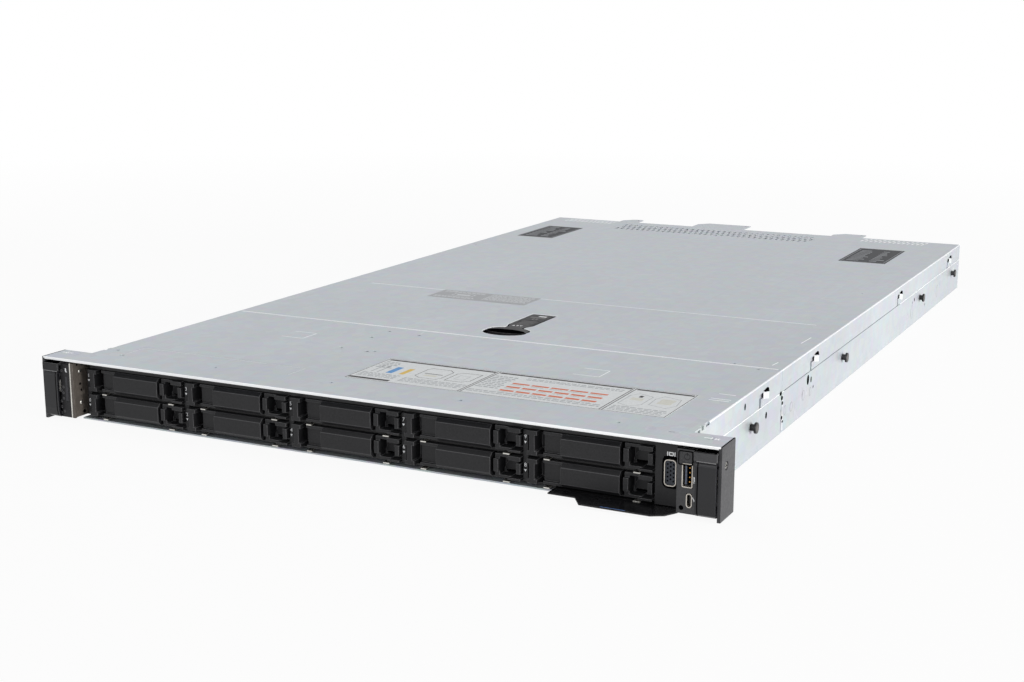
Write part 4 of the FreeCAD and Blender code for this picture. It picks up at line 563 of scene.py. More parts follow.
def front_strip():
    """The strip across both ears: hem, screw dimples, pressed bosses and a slot."""
    cutters = bmesh.new()
    for x, y, radius in STRIP_HOLES:
        disc(cutters, (x, y, STRIP_TOP - 0.7), (0, 0, 1), radius, 2, 16)
    slab(cutters, *STRIP_SLOT, (STRIP_TOP - 0.7, STRIP_TOP + 1))
    for x, y, radius in STRIP_DIMPLES:
        dome(cutters, (x, y, STRIP_TOP + 0.35), radius, 0.28)
    shape = pierce(own_shape("front_plate"), cutters)
    for side in (-1, 1):
        score(shape, side * (STRIP_HIGH.x - STRIP_END), (1, 0, 0))
    shape.normal_update()
    # The ends take the ear's coat; the hem's front faces take the lighter zinc, a painted highlight.
    for face in shape.faces:
        place = face.calc_center_median()
        if abs(place.x) > STRIP_HIGH.x - STRIP_END:
            face.material_index = 2
        elif face.normal.y < -0.7 and place.y < STRIP_LOW.y + 0.5:
            face.material_index = 1

    def at_hem(edge):
        return edge.calc_length() > 50 and all(vert.co.y < STRIP_LOW.y + 0.1 for vert in edge.verts)

    round_folds(shape, at_hem, 0.35)
    dress("front_plate", 0.1, [ZINC, ZINC_HIGHLIGHT, EAR], shape)


def bay_top():
    """The fixed cover: rounded folds with a painted highlight, holes, the strip's tongue and the pressed
    marks, these two drawn as lines of painted shadow and painted highlight.
    """
    cutters = bmesh.new()
    for x, y, radius in BAY_HOLES:
        disc(cutters, (x, y, TOP - 1.5), (0, 0, 1), radius, 3, 16)
    for side in (-1, 1):
        slab(cutters, (side * WALL - 1.4, side * WALL + 1.4), (12, 15.6), (TOP - 2.2, TOP + 1))
        slab(cutters, (side * WALL - 1.0, side * WALL + 1.0), (19, 25.5), (TOP - 1.8, TOP + 1))
    shape = pierce(own_shape("bay_cover"), cutters)
    round_folds(shape, lambda edge: along_y(edge, TOP), 0.8)
    dress("bay_cover", 0.08, [ZINC, FOLD_HIGHLIGHT], shape)
    pressed = bmesh.new()
    # Dark lines of painted shadow and pale lines of painted highlight, where the sheet is pressed and where
    # it meets the sliding cover.
    for start, end in zip(TONGUE_SEAM, TONGUE_SEAM[1:]):
        line(pressed, start, end, 0.45, 0)
        line(pressed, (start[0] + 0.4, start[1] - 0.45), (end[0] + 0.4, end[1] - 0.45), 0.35, 1)
    for x, y in BAY_BRACKETS:
        far = (x + BRACKET, y + BRACKET)
        for start, end in (((x, y), (far[0], y)), ((x, far[1]), far), ((far[0], y), far)):
            line(pressed, start, end, 0.5, 1)
    for start, end in (((200, 72), (212, 72)), ((200, 76), (212, 76)), ((201, 88), (211, 88))):
        line(pressed, start, end, 0.7, 1)
    line(pressed, (-COVER_REACH, BAY_HIGH.y - 0.35), (COVER_REACH, BAY_HIGH.y - 0.35), 0.7, 1)
    settle("bay_cover_pressings", pressed, [SEAM, ZINC_HIGHLIGHT], "chassis")


def main_top():
    """The sliding cover: rounded folds with a painted highlight, its holes, and the finger marks, a crease,
    its front seam and the pressed hatching at the rear drawn as lines of painted highlight.
    """
    cutters = bmesh.new()
    for x, y, radius in MAIN_HOLES:
        disc(cutters, (x, y, TOP - 1.5), (0, 0, 1), radius, 3, 16)
    shape = pierce(own_shape("system_cover"), cutters)
    round_folds(shape, lambda edge: along_y(edge, TOP), 0.8)
    round_folds(shape, around_latch, 0.45, 2)
    dress("system_cover", 0.08, [ZINC, FOLD_HIGHLIGHT], shape)
    marks = bmesh.new()
    # Pale lines of painted highlight on the pressings and seams.
    for start, end in (((205, 248), (206, 269)), ((207, 175), (208, 184)), ((-188, 313), (197, 313))):
        line(marks, start, end, 0.7, 1)
    line(marks, (-COVER_REACH, COVER_LOW.y + 0.4), (COVER_REACH, COVER_LOW.y + 0.4), 0.6, 1)
    hatch_pitch = 4.6
    for side, first, count in ((-1, 150, 12), (1, 124, 14)):
        for number in range(count):
            x = side * (first + number * hatch_pitch)
            line(marks, (x, 731), (x + 1, 737), 1.3, 1)
            line(marks, (x + 2, 741), (x + 3, 746), 1.3, 1)
    settle("cover_pressings", marks, [SEAM, ZINC_HIGHLIGHT], "cover")


def tray_sides():
    """The tray with the round and oval holes, the spot welds and the seam of its side walls."""
    cutters = bmesh.new()
    for side in (-1, 1):
        wall = side * WALL
        out = (-side, 0, 0)
        for y, z, radius in WALL_HOLES:
            disc(cutters, (wall + side, y, z), out, radius, 3, 16)
        y, z = LONG_HOLE
        hole = disc(cutters, (wall + side, y, z), out, 2.2, 3, 20)
        bmesh.ops.scale(cutters, vec=(1, 0.8, 1.6), space=Matrix.Translation((0, -y, -z)), verts=hole)
        slab(cutters, (wall - 0.35, wall + 0.35), (WALL_SEAM - 0.4, WALL_SEAM + 0.4), (1.2, 26.5))
        for z in SEAM_TEETH:
            tooth = disc(cutters, (wall + side, WALL_SEAM - 0.6, z), out, 1.7, 1.6, 3)
            turn_about(cutters, tooth, 30 * z, "X", (wall, WALL_SEAM - 0.6, z))
        for y, z in SPOT_WELDS:
            ring_of_weld(cutters, side, y, z)
    shape = pierce(own_shape("chassis_tray"), cutters)
    for y in LEDGE_BRIGHT:
        score(shape, y, (0, 1, 0))
    shape.normal_update()
    ledge = COVER_LOW.z - 0.2

    def at_ledge(edge):
        ends = [vert.co for vert in edge.verts]
        middle = (ends[0].y + ends[1].y) / 2
        outside = all(abs(end.x) > WALL - 0.1 and abs(end.z - ledge) < 0.3 for end in ends)
        return outside and not LEDGE_BRIGHT[0] < middle < LEDGE_BRIGHT[1]

    # Outside that range the ledge's fold is rounded and takes the lighter zinc, a painted highlight.
    round_folds(shape, at_ledge, 0.4, 3)
    dress("chassis_tray", 0.15, [ZINC, ZINC_HIGHLIGHT], shape)


def side_patch(shape, side, points, finish):
    """A thin patch on a side wall, from its corners (y, z), the first at the upper front."""
    out = side * (WALL + 0.05)
    corners = [shape.verts.new((out, y, z)) for y, z in points]
    if side > 0:
        corners.reverse()
    shape.faces.new(corners).material_index = finish


def oval(shape, side, y, z, wide, tall, lift, finish):
    """A flat oval on a side wall, its half width and half height given."""
    made = disc(shape, (0, 0, 0), (side, 0, 0), 1.0, lift, 24, finish=finish)
    bmesh.ops.scale(shape, vec=(1, wide, tall), verts=made)
    bmesh.ops.translate(shape, vec=(side * (WALL + 0.01), y, z), verts=made)


def side_marks():
    """Marks on the side walls: lances under the hook slots in painted highlight and painted shade, holes
    painted dark as their shade, welds, the seam's notches in painted highlight and painted shade, and a line
    of painted shadow under the ledge.
    """
    for body, places in HOOK_LANCES.items():
        lances = bmesh.new()
        for side in (-1, 1):
            for y in places:
                # Each lance: a lit patch of painted highlight and a dark sliver of painted shade.
                side_patch(lances, side, ((y - 6, 37.0), (y + 6, 34.6), (y + 6, 30.2), (y - 6, 32.6)), 0)
                side_patch(lances, side,
                           ((y - 6.6, 37.7), (y + 6.8, 34.7), (y + 5, 37.6), (y + 2.2, 38.6)), 1)
        settle(body + "_hook_lances", lances, [FOLD_HIGHLIGHT, SHADE_BLACK], body, closed=False)
    holes = bmesh.new()
    for side in (-1, 1):
        # Dark ovals are painted shade in holes; pale patches by the seam are painted highlight; the thin line
        # under the ledge is painted shadow.
        for y, z, wide, tall in DARK_OVALS:
            oval(holes, side, y, z, wide, tall, 0.07, 1)
        side_patch(holes, side, ((165.6, 25.4), (168.2, 24.8), (168.6, 17.4), (166.0, 18.0)), 0)
        side_patch(holes, side, ((166.4, 12.4), (168.4, 11.8), (169.0, 1.4), (167.0, 1.4)), 0)
        side_patch(holes, side, ((170, 27.75), (498, 27.75), (498, 27.3), (170, 27.3)), 4)
        for y, z, wide, tall in WELD_OVALS:
            oval(holes, side, y, z, wide, tall, 0.03, 2)
            oval(holes, side, y, z, wide - 0.8, tall - 0.55, 0.045, 3)
    settle("wall_holes", holes, [FOLD_HIGHLIGHT, SHADE_BLACK, WELD, ZINC, SEAM], "chassis")
    # The flange's holes are painted shade.
    flange = bmesh.new()
    for side in (-1, 1):
        oval(flange, side, 89, 36, 1.3, 2.2, 0.05, 0)
    settle("flange_holes", flange, [SHADE_BLACK], "chassis")
    faces = bmesh.new()
    stud_face = span("side_studs")[1].x - 0.02
    for side in (-1, 1):
        for y in STUD_PLACES:
            disc(faces, (side * stud_face, y, STUD_HEIGHT), (side, 0, 0), 2.2, 0.05, 24)
    settle("stud_faces", faces, [STUD_FACE], "chassis")


def ring_of_weld(cutters, side, y, z):
    """The shallow ring that a spot weld leaves in the wall."""
    wall = side * WALL
    made = disc(cutters, (wall + side * 0.8, y, z), (-side, 0, 0), 2.6, 0.9, 20)
    bmesh.ops.scale(cutters, vec=(1, 0.75, 1.3), space=Matrix.Translation((0, -y, -z)), verts=made)


def ears():
    """The folded ears: coated outside, bare steel on the leg inside the tray, with the housing's screw."""
    screw_y, screw_z = -13.8, 30.5
    for hand, side in (("right", 1), ("left", -1)):
        node = hand + "_ear_bracket"
        shape = own_shape(node)
        score(shape, EAR_LOW.y + 0.4, (0, 1, 0))
        for face in shape.faces:
            place = face.calc_center_median()
            face.material_index = int(side * place.x < WALL - 0.9)
            # The end plate's front faces are painted near-black: the coat's dark edge with the painted shade
            # of the gap beside it.
            if side * place.x > WALL + 5 and place.y < EAR_LOW.y + 0.4:
                face.material_index = 2
        cutters = bmesh.new()
        end = side * EAR_HIGH.x
        disc(cutters, (end + side * 0.5, screw_y, screw_z), (-side, 0, 0), 3.0, 1.4, 24, tip=2.3)
        dress(node, 0.3, [EAR, LEG, SHADE_BLACK], pierce(shape, cutters), segments=3)
        foot = bmesh.new()
        slab(foot, sorted((side * 232.4, side * 239.2)), (-14.0, -3.0), (2.34, 3.0))
        settle(hand + "_housing_foot", foot, [BLACK], "chassis")
        screw = bmesh.new()
        disc(screw, (end - side * 0.85, screw_y, screw_z), (side, 0, 0), 2.0, 0.45, 24, tip=1.7)
        # The screw's slots are painted shade.
        for turn in (0, 60, 120):
            made = slab(screw, (end - side * 0.42, end - side * 0.36), (screw_y - 1.6, screw_y + 1.6),
                        (screw_z - 0.25, screw_z + 0.25), 1)
            turn_about(screw, made, turn, "X", (end, screw_y, screw_z))
        settle(hand + "_housing_screw", screw, [BRIGHT, SHADE_BLACK], "chassis", 0.04)


def banded(node, axis, band):
    """A node's own shape with a band of painted shade between two places along an axis."""
    shape = own_shape(node)
    axis = Vector(axis)
    for place in band:
        score(shape, place, axis)
    for face in shape.faces:
        if band[0] < face.calc_center_median().dot(axis) < band[1]:
            face.material_index = 2
    return shape


# Bands of painted shade: under the strip along Z, and beside the quick latches along X
HOUSING_SHADE = (39.1, 60)
SLAM_SHADE = (227.8, 228.5)


def plain_nodes():
    """Nodes whose own shape stands, with their edges rounded."""
    edges = {
        "side_studs": 0.2, "latch_pan": 0.3, "rack_screws": 0.3, "right_control_housing": 0.25,
        "left_status_housing": 0.25, "right_slam_latch": 0.35, "left_slam_latch": 0.35, "power_button": 0.3,
        "vga_panel": 0.15, "rear_panel": 0.1, "left_riser_cage": 0.15, "middle_riser_cage": 0.15,
        "right_riser_cage": 0.15, "left_supply_latch": 0.3, "right_supply_latch": 0.3, "rear_ports": 0.15,
    }
    # Each node's finish and a lighter one on its rounded edges, which paints their highlight.
    highlight_finishes = {
        "right_control_housing": [STRIP, STRIP_HIGHLIGHT_EDGE], "power_button": [STRIP, STRIP_HIGHLIGHT_EDGE],
        "left_status_housing": [BLACK, BLACK_HIGHLIGHT_EDGE], "right_slam_latch": [SLAM, SLAM_HIGHLIGHT_EDGE],
        "left_slam_latch": [SLAM, SLAM_HIGHLIGHT_EDGE], "vga_panel": [BLACK, BLACK_HIGHLIGHT_EDGE],
    }
    for node, edge in edges.items():
        finishes = highlight_finishes.get(node)
        shape = None
        if node in ("right_control_housing", "left_status_housing"):
            shape = banded(node, (0, 0, 1), HOUSING_SHADE)
            finishes = finishes + [SHADE_BLACK]
        elif node in ("right_slam_latch", "left_slam_latch"):
            side = 1 if node.startswith("right") else -1
            shape = banded(node, (side, 0, 0), SLAM_SHADE)
            finishes = finishes + [SHADE_BLACK]
        dress(node, edge, finishes, shape, edge_highlight=1 if finishes else -1)
    dress("latch_lock", 0.15, [STUD])
    # The lever and the blanks also take a lighter finish on their rounded edges, a painted highlight.
    dress("cover_latch", 0.35, [LEVER, BLACK_HIGHLIGHT_EDGE], segments=3, edge_highlight=1)
    tag = own_shape("info_tag")
    for vert in tag.verts:
        if vert.co.z > TAG_TOP - 0.05:
            vert.co.z = TAG_TOP - 0.08
    dress("info_tag", 0.2, [TAG], tag)
    dress("drive_cage", 0.1, [CAGE])
    for number in range(1, COLUMNS * ROWS + 1):
        dress("drive_blank_%02d" % number, 0.26, [BLACK, BLACK_HIGHLIGHT_EDGE], edge_highlight=1)
    for side in ("left", "right"):
        dress(side + "_power_supply", 0.25)


def inner_nodes():
    """Finishes of the nodes that stay as they are."""
    for node, held in frame["nodes"].items():
        held.data.materials.clear()
        held.data.materials.append(FINISH_OF_SLOT[SLOT_OF[node]])


# The top of the labels on the covers
FILM_TOP = TOP + 0.05


def bar(shape, x, y, top, finish):
    """A printed bar on a label: its ends along X and Y."""
    slab(shape, x, y, (top - 0.01, top + 0.02), finish)


def printed_lines(shape, x, y, top, count, pitch, finish):
    """Rows of short printed dashes that stand for small print. One draw is passed over after each row."""
    for number in range(count):
        level = y - number * pitch
        start = x[0]
        while start < x[1] - 1.5:
            length = dice.uniform(1.6, 5.0)
            end = min(start + length, x[1])
            bar(shape, (start, end), (level, level + pitch * 0.42), top, finish)
            start = end + 0.8
        dice.random()


def box_of(x, y, margin=0.0):
    """The four corners of a box on a label, in by a margin."""
    return [(x[0] + margin, y[0] + margin), (x[1] - margin, y[0] + margin),
            (x[1] - margin, y[1] - margin), (x[0] + margin, y[1] - margin)]


def outline(shape, points, top, width, finish):
    """A thin printed outline through points."""
    for start, end in zip(points, points[1:] + points[:1]):
        stroke(shape, start, end, width, (top - 0.01, top + 0.02), finish, 0, width)


def service_label():
    """The large white label: three panels of plain bars, boxes and dashes."""
    left, right, front, back = -27.3, 191.2, 20.8, 78.3
    first, second = 55.4, 150.4
    dark, pale, blue, yellow, tint, rust = range(6)
    sheet = bmesh.new()
    slab(sheet, (left, right), (front, back), (TOP - 0.01, FILM_TOP))
    settle("service_label", sheet, [PAPER], "chassis", 0.02)
    art = bmesh.new()
    outline(art, box_of((left, right), (front, back), 0.6), FILM_TOP, 0.45, dark)
    for divide in (first, second):
        for shift in (-0.9, 0.9):
            bar(art, (divide + shift - 0.3, divide + shift + 0.3), (front + 0.6, back - 1), FILM_TOP, dark)
    for x in ((left + 2, first - 1.6), (first + 2, second - 1.6), (second + 1.8, right - 1.6)):
        bar(art, x, (back - 4.6, back - 2.0), FILM_TOP, dark)
    bar(art, (left + 1.2, left + 31), (front + 2.4, front + 5.6), FILM_TOP, dark)
    for x, y, finish in (((-9.8, -5.4), (42.7, 59.3), blue), ((-0.2, 3.4), (43.0, 58.4), yellow),
                         ((-20.5, -19.7), (42, 60), pale), ((-16.0, -15.2), (42, 60), pale)):
        bar(art, x, y, FILM_TOP, finish)
    printed_lines(art, (-24.5, -12.5), 68.5, FILM_TOP, 5, 3.6, pale)
    printed_lines(art, (-24.5, 4.0), 38.0, FILM_TOP, 4, 2.6, pale)
    outline(art, [(11, 45), (16, 41), (28, 41), (30, 45), (30, 62), (26, 66), (13, 66), (11, 62)],
            FILM_TOP, 0.4, dark)
    outline(art, [(34, 42), (46, 42), (50, 47), (50, 64), (38, 64), (34, 60)], FILM_TOP, 0.4, dark)
    outline(art, box_of((38, 45), (47, 57)), FILM_TOP, 0.35, pale)
    bar(art, (14, 27), (52.0, 53.0), FILM_TOP, dark)
    bar(art, (16, 25), (46, 50), FILM_TOP, tint)
    for x, y, count, pitch in (((8, 53), 36.0, 4, 2.8), ((58, 74), 66.0, 8, 4.0), ((80, 147), 68.5, 2, 3.0),
                               ((58, 147), 29.5, 2, 3.2)):
        printed_lines(art, x, y, FILM_TOP, count, pitch, pale)
    row_left, row_right = 76.6, 143.0
    for level, segments, height in ((54.2, 5, 2.7), (45.2, 6, 3.1), (36.2, 6, 3.1)):
        pitch = (row_right - row_left) / segments
        low = level - height / 2
        for number in range(segments):
            start = row_left + number * pitch
            bar(art, (start, start + pitch - 1.6), (low, level + height / 2), FILM_TOP, rust)
            bar(art, (start, start + pitch - 4.0), (low - 2.2, low - 1.5), FILM_TOP, pale)
    outline(art, [(154, 40), (162, 36), (168, 42), (168, 62), (158, 66), (154, 60)], FILM_TOP, 0.4, pale)
    outline(art, [(172, 44), (184, 40), (188, 48), (186, 62), (174, 66), (171, 58)], FILM_TOP, 0.4, pale)
    for x, y, finish in (((175, 184), (48, 60), tint), ((157, 165), (50, 56), tint),
                         ((160, 162.4), (57.5, 61.5), dark)):
        bar(art, x, y, FILM_TOP, finish)
    printed_lines(art, (153.5, 188.5), 33.0, FILM_TOP, 4, 2.9, pale)
    settle("service_label_print", art, [INK, INK_PALE, INK_BLUE, INK_YELLOW, INK_FILL, INK_RUST], "chassis")


def grey_label():
    """The grey film near the latch, with pale bars on it."""
    left, right, front, back = -117.0, -29.0, 283.0, 314.0
    shape = bmesh.new()
    slab(shape, (left, right), (front, back), (TOP - 0.01, FILM_TOP), 0)
    printed_lines(shape, (left + 3, left + 40), back - 4, FILM_TOP, 2, 3.0, 1)
    printed_lines(shape, (left + 46, right - 3), back - 4, FILM_TOP, 8, 2.9, 1)
    printed_lines(shape, (left + 3, left + 40), front + 7, FILM_TOP, 2, 3.0, 1)
    outline(shape, box_of((left + 16, left + 34), (front + 12, front + 20)), FILM_TOP, 0.7, 1)
    bar(shape, (left + 19, left + 31), (front + 14.5, front + 17.5), FILM_TOP, 1)
    settle("grey_label", shape, [FILM, FILM_MARK], "cover")


def corner_labels():
    """Two dark labels near the rear corners, with plain bars."""
    for name, x, y in (("left_corner_label", (-199, -160), (610, 687)),
                       ("right_corner_label", (135, 178), (605, 687))):
        shape = bmesh.new()
        slab(shape, x, y, (TOP - 0.01, FILM_TOP), 0)
        outline(shape, box_of(x, y, 2), FILM_TOP, 0.6, 1)
        for number in range(9):
            start = y[0] + 9 + number * 7.2
            for left, shortest, longest in ((x[0] + 5, 8, 15), (x[1] - 17, 5, 12)):
                bar(shape, (left, left + dice.uniform(shortest, longest)), (start, start + 2.6), FILM_TOP, 1)
        settle(name, shape, [PLATE_DARK, PLATE_MARK], "cover")


def bay_origin(column, row):
    """The lower left corner of a bay."""
    return FIRST_LOW.x + column * BAY_PITCH, FIRST_LOW.z + row * ROW_PITCH


def number_mark(number, place, height):
    """A plain figure as a thin raised mesh that faces the front."""
    text = bpy.data.curves.new("figure", "FONT")
    text.body = str(number)
    text.size = height
    text.extrude = 0.02
    text.align_x = "CENTER"
    text.resolution_u = 2
    holder = bpy.data.objects.new("figure", text)
    bpy.context.scene.collection.objects.link(holder)
    mesh = bpy.data.meshes.new_from_object(holder.evaluated_get(bpy.context.evaluated_depsgraph_get()))
    bpy.data.objects.remove(holder)
    mesh.transform(Matrix.Translation(place) @ Matrix.Rotation(math.radians(90), 4, "X"))
    return mesh


def bay_marks():
    """White figures and arrows beside each bay, and the bright grounding springs under the blanks."""
    marks = bmesh.new()
    springs = bmesh.new()
    cage_front = span("drive_cage")[0].y
    strip_front = -12.5
    for row in range(ROWS):
        for column in range(COLUMNS):
            left, low = bay_origin(column, row)
            x = left - 2.2
            marks.from_mesh(number_mark(column * ROWS + row, (x, strip_front - 0.1, low + 8.6), 3.4))
            disc(marks, (x, strip_front - 0.2, low + 6.6), (0, 1, 0), 1.0, 0.06, 3)
            for start, end in ((10.4, 14.2), (66.0, 70.4)):
                made = slab(springs, (left + start, left + end), (-14.6, -9.4), (low - 1.75, low - 0.95))
                turn_about(springs, made, 9, "X", (left + start, -12, low - 1.4))
    settle("bay_figures", marks, [MARK], "chassis", closed=False)
    settle("grounding_springs", springs, [BRIGHT], "chassis", 0.12)
    plates = bmesh.new()
    for column in range(COLUMNS):
        left, low = bay_origin(column, 0)
        slab(plates, (left - 3.7, left - 0.5), (strip_front, cage_front + 2.4),
             (low + 0.2, low + 2 * ROW_PITCH - 3.0))
    settle("bay_number_strips", plates, [BLACK], "chassis", 0.2)


def display_port():
    """The display port: bright shell, dark insert with three rows of holes painted as shade, a ring of
    painted shade round the shell, and the sign above it.
    """
    aside = Vector((0.9, 0, -1.3))
    low, high = (corner + aside for corner in span("vga_port"))
    middle = ((low.x + high.x) / 2, (low.z + high.z) / 2)
    wide, tall = high.x - low.x, high.z - low.z
    panel_front = span("vga_panel")[0].y
    front = panel_front - 1.6
    shell = bmesh.new()
    rim(shell, middle, front, panel_front, (wide, tall), 2.3, 0.55)
    settle("display_shell", shell, [PORT], "chassis", 0.1)
    insert = bmesh.new()
    slab(insert, (low.x + 0.6, high.x - 0.6), (front + 0.9, panel_front), (low.z + 0.6, high.z - 0.6))
    holes = bmesh.new()
    for column in range(3):
        for row in range(5):
            x = middle[0] + (column - 1) * 1.75
            z = middle[1] + (row - 2) * 2.4 + (1.1 if column == 1 else 0.0)
            disc(holes, (x, front + 0.86, z), (0, 1, 0), 0.55, 0.03, 12)
    settle("display_holes", holes, [SHADE_BLACK], "chassis")
    piece = settle("display_insert", insert, [SOCKET], "chassis")
    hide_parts("vga_port")
    seat = bmesh.new()
    rim(seat, middle, panel_front - 0.06, panel_front + 0.2, (wide + 3.4, tall + 3.4), 3.4, 1.7)
    settle("display_recess", seat, [SHADE_BLACK], "chassis", 0.1)
    sign = bmesh.new()
    sign_x = middle[0] - 0.1
    rim(sign, (sign_x, high.z + 2.9), panel_front - 0.05, panel_front + 0.02, (2.9, 2.2), 0.5, 0.6)
    for side in (-1, 1):
        slab(sign, (sign_x + side * 2.15 - 0.28, sign_x + side * 2.15 + 0.28),
             (panel_front - 0.05, panel_front + 0.02), (high.z + 1.7, high.z + 4.1))
    settle("display_sign", sign, [MARK], "chassis")


# The front of the ear housings, and the middles of the right ear's two ports along X and up Z
HOUSING_FACE = -21.5
WIDE_PORT = (221.3, 24.2)
SMALL_PORT = (222.6, 10.1)


def service_ports():
    """Rims, tongues and contacts of the two ports on the right ear, the small light and plain marks, with
    painted shade in the port openings, the light's hole and the gap round the power key.
    """
    face = HOUSING_FACE
    shape = own_shape("usb_ports")
    for side in shape.faces:
        place = side.calc_center_median()
        upper = abs(place.x - WIDE_PORT[0]) < 1.9 and abs(place.z - WIDE_PORT[1]) < 6.0
        lower = abs(place.x - SMALL_PORT[0]) < 0.9 and abs(place.z - SMALL_PORT[1]) < 3.2
        side.material_index = int(upper or lower)
    dress("usb_ports", 0.06, [PORT, SHADE_BLACK], shape)
    rims = bmesh.new()
    rim(rims, WIDE_PORT, face - 0.25, -19.6, (6.3, 13.8), 1.0, 0.6)
    rim(rims, SMALL_PORT, face - 0.25, -19.8, (3.5, 8.3), 1.7, 0.6)
    settle("port_rims", rims, [PORT], "chassis", 0.08)
    inside = bmesh.new()
    slab(inside, (219.6, 220.5), (-20.2, -12), (18.6, 29.8), 0)
    slab(inside, (222.25, 222.95), (-20.4, -14), (7.6, 12.6), 1)
    settle("port_tongues", inside, [TONGUE, INSERT], "chassis", 0.1)
    contacts = bmesh.new()
    for number in range(4):
        z = 20.2 + number * 2.65
        slab(contacts, (221.7, 222.4), (-19.6, -14), (z - 0.36, z + 0.36))
    settle("port_contacts", contacts, [GOLD], "chassis", 0.08)
    back = bmesh.new()
    slab(back, (218.7, 223.9), (-14.2, -13.6), (17.9, 30.5))
    slab(back, (221.3, 223.9), (-14.6, -14.0), (6.6, 13.6))
    settle("port_backs", back, [INSERT], "chassis")
    marks = bmesh.new()
    depth = (face - 0.04, face + 0.03)
    disc(marks, (225.3, depth[0], 23.4), (0, 1, 0), 0.8, 0.06, 3)
    slab(marks, (225.0, 225.6), depth, (20.6, 23.0))
    disc(marks, (225.3, depth[0], 20.9), (0, 1, 0), 0.55, 0.06, 12)
    made = slab(marks, (225.0, 225.5), depth, (9.4, 12.4))
    turn_about(marks, made, -28, "Y", (225.2, face, 10.9))
    settle("port_marks", marks, [MARK], "chassis")
    light = bmesh.new()
    disc(light, (218.1, face - 0.03, 5.5), (0, 1, 0), 1.35, 0.1, 24)
    settle("service_light", light, [SHADE_BLACK], "chassis")
    ring = bmesh.new()
    key_low, key_high = span("power_button")
    key = key_low.y
    middle = ((key_low.x + key_high.x) / 2, (key_low.z + key_high.z) / 2)
    rim(ring, middle, key - 0.02, key + 0.03, (3.6, 3.6), 1.75, 0.4)
    slab(ring, (middle[0] - 0.2, middle[0] + 0.2), (key - 0.02, key + 0.03),
         (middle[1] + 0.4, middle[1] + 2.4))
    settle("power_sign", ring, [MARK_LOW], "button")
    key_gap = bmesh.new()
    rim(key_gap, middle, HOUSING_LOW.y - 0.04, HOUSING_LOW.y + 0.05,
        (key_high.x - key_low.x + 1.5, key_high.z - key_low.z + 1.5), 1.1, 0.7)
    settle("power_key_gap", key_gap, [SHADE_BLACK], "chassis")


# Small lights beside the left housing's bar, along X and up Z
STATUS_LIGHTS = [(-225.0, 34.4), (-224.2, 23.0), (-226.0, 20.8), (-224.5, 18.9), (-224.4, 15.2),
                 (-226.5, 13.0), (-226.4, 9.1), (-226.9, 5.0), (-224.2, 6.2)]
# Holes of the steel leg beside the bays, along Y and up Z, with their radii, and the leg's face
LEG_HOLES = [(-15.4, 25.0, 0.9), (-14.6, 20.6, 0.8), (-12.6, 38.4, 1.2), (-17.4, 38.6, 0.8),
             (-12.8, 5.4, 1.3)]
LEG_FACE = -214.98


def status_side():
    """The left housing's lights and the rivets and holes of the steel leg beside the bays, the holes painted
    dark as shade.
    """
    front = HOUSING_FACE - 0.06
    lens = bmesh.new()
    slab(lens, (-222.4, -220.4), (front, -20.4), (13.6, 30.6))
    settle("status_bar", lens, [STATUS], "chassis", 0.3)
    filler = bmesh.new()
    slab(filler, (-222.4, -220.2), (HOUSING_FACE - 0.02, -20.4), (6.2, 13.5))
    settle("status_window", filler, [BLACK], "chassis", 0.1)
    marks = bmesh.new()
    for x, z in STATUS_LIGHTS:
        disc(marks, (x, HOUSING_FACE - 0.03, z), (0, 1, 0), 0.9, 0.06, 14, finish=0)
        disc(marks, (x, front, z), (0, 1, 0), 0.5, 0.06, 14, finish=2)
    slab(marks, (-221.9, -220.9), (front, HOUSING_FACE + 0.03), (34.2, 36.2), 1)
    slab(marks, (-221.6, -220.4), (front, HOUSING_FACE + 0.03), (33.6, 34.2), 1)
    settle("status_marks", marks, [MARK_DIM, MARK, BLACK], "chassis", closed=False)
    rivets = bmesh.new()
    for z in (33.7, 12.2):
        disc(rivets, (LEG_FACE - 0.05, -15.0, z), (1, 0, 0), 1.5, 0.5, 20, tip=0.9)
    settle("leg_rivets", rivets, [BRIGHT], "chassis", 0.1)
    holes = bmesh.new()
    for y, z, radius in LEG_HOLES:
        disc(holes, (LEG_FACE - 0.02, y, z), (1, 0, 0), radius, 0.05, 14)
    settle("leg_holes", holes, [SHADE_BLACK], "chassis")
    edge = bmesh.new()
    slab(edge, (-218.0, -217.1), (-21.9, -20.0), (2.3, 40.0))
    slab(edge, (-217.1, -215.0), (-21.7, -20.0), (2.3, 40.0), 1)
    settle("leg_front_edge", edge, [BRIGHT, LEG], "chassis", 0.15)


def strip_signs():
    """Small pressed arrows near both ends of the front strip in the lighter zinc, a painted highlight, and
    the dark line along each end.
    """
    signs = bmesh.new()
    for x, y in ((227.6, -7.6), (-235.2, -6.4)):
        line(signs, (x - 1.6, y), (x + 1.2, y), 0.9, 0, STRIP_TOP)
        for start, end in (((2.2, -1.2), (2.2, 1.4)), ((4.4, -0.9), (6.4, 0.9)), ((4.4, 0.9), (6.4, -0.9))):
            line(signs, (x + start[0], y + start[1]), (x + end[0], y + end[1]), 0.8, 0, STRIP_TOP)
    for side in (-1, 1):
        x = side * (STRIP_HIGH.x - 0.55)
        line(signs, (x, STRIP_LOW.y + 0.6), (x, STRIP_EAR_BACK), 0.8, 1, STRIP_TOP)
    settle("strip_signs", signs, [ZINC_HIGHLIGHT, SHADE_BLACK], "chassis")


def slam_creases():
    """A pale line of painted highlight along the crease under the finger scoop of each quick latch."""
    for name in ("right", "left"):
        low, high = span(name + "_slam_latch")
        crease = bmesh.new()
        slab(crease, (low.x + 0.5, high.x - 0.5), (low.y + 0.3, low.y + 1.0), (high.z - 0.3, high.z + 0.25))
        settle(name + "_slam_crease_highlight", crease, [CREASE_HIGHLIGHT], name + "_slam")


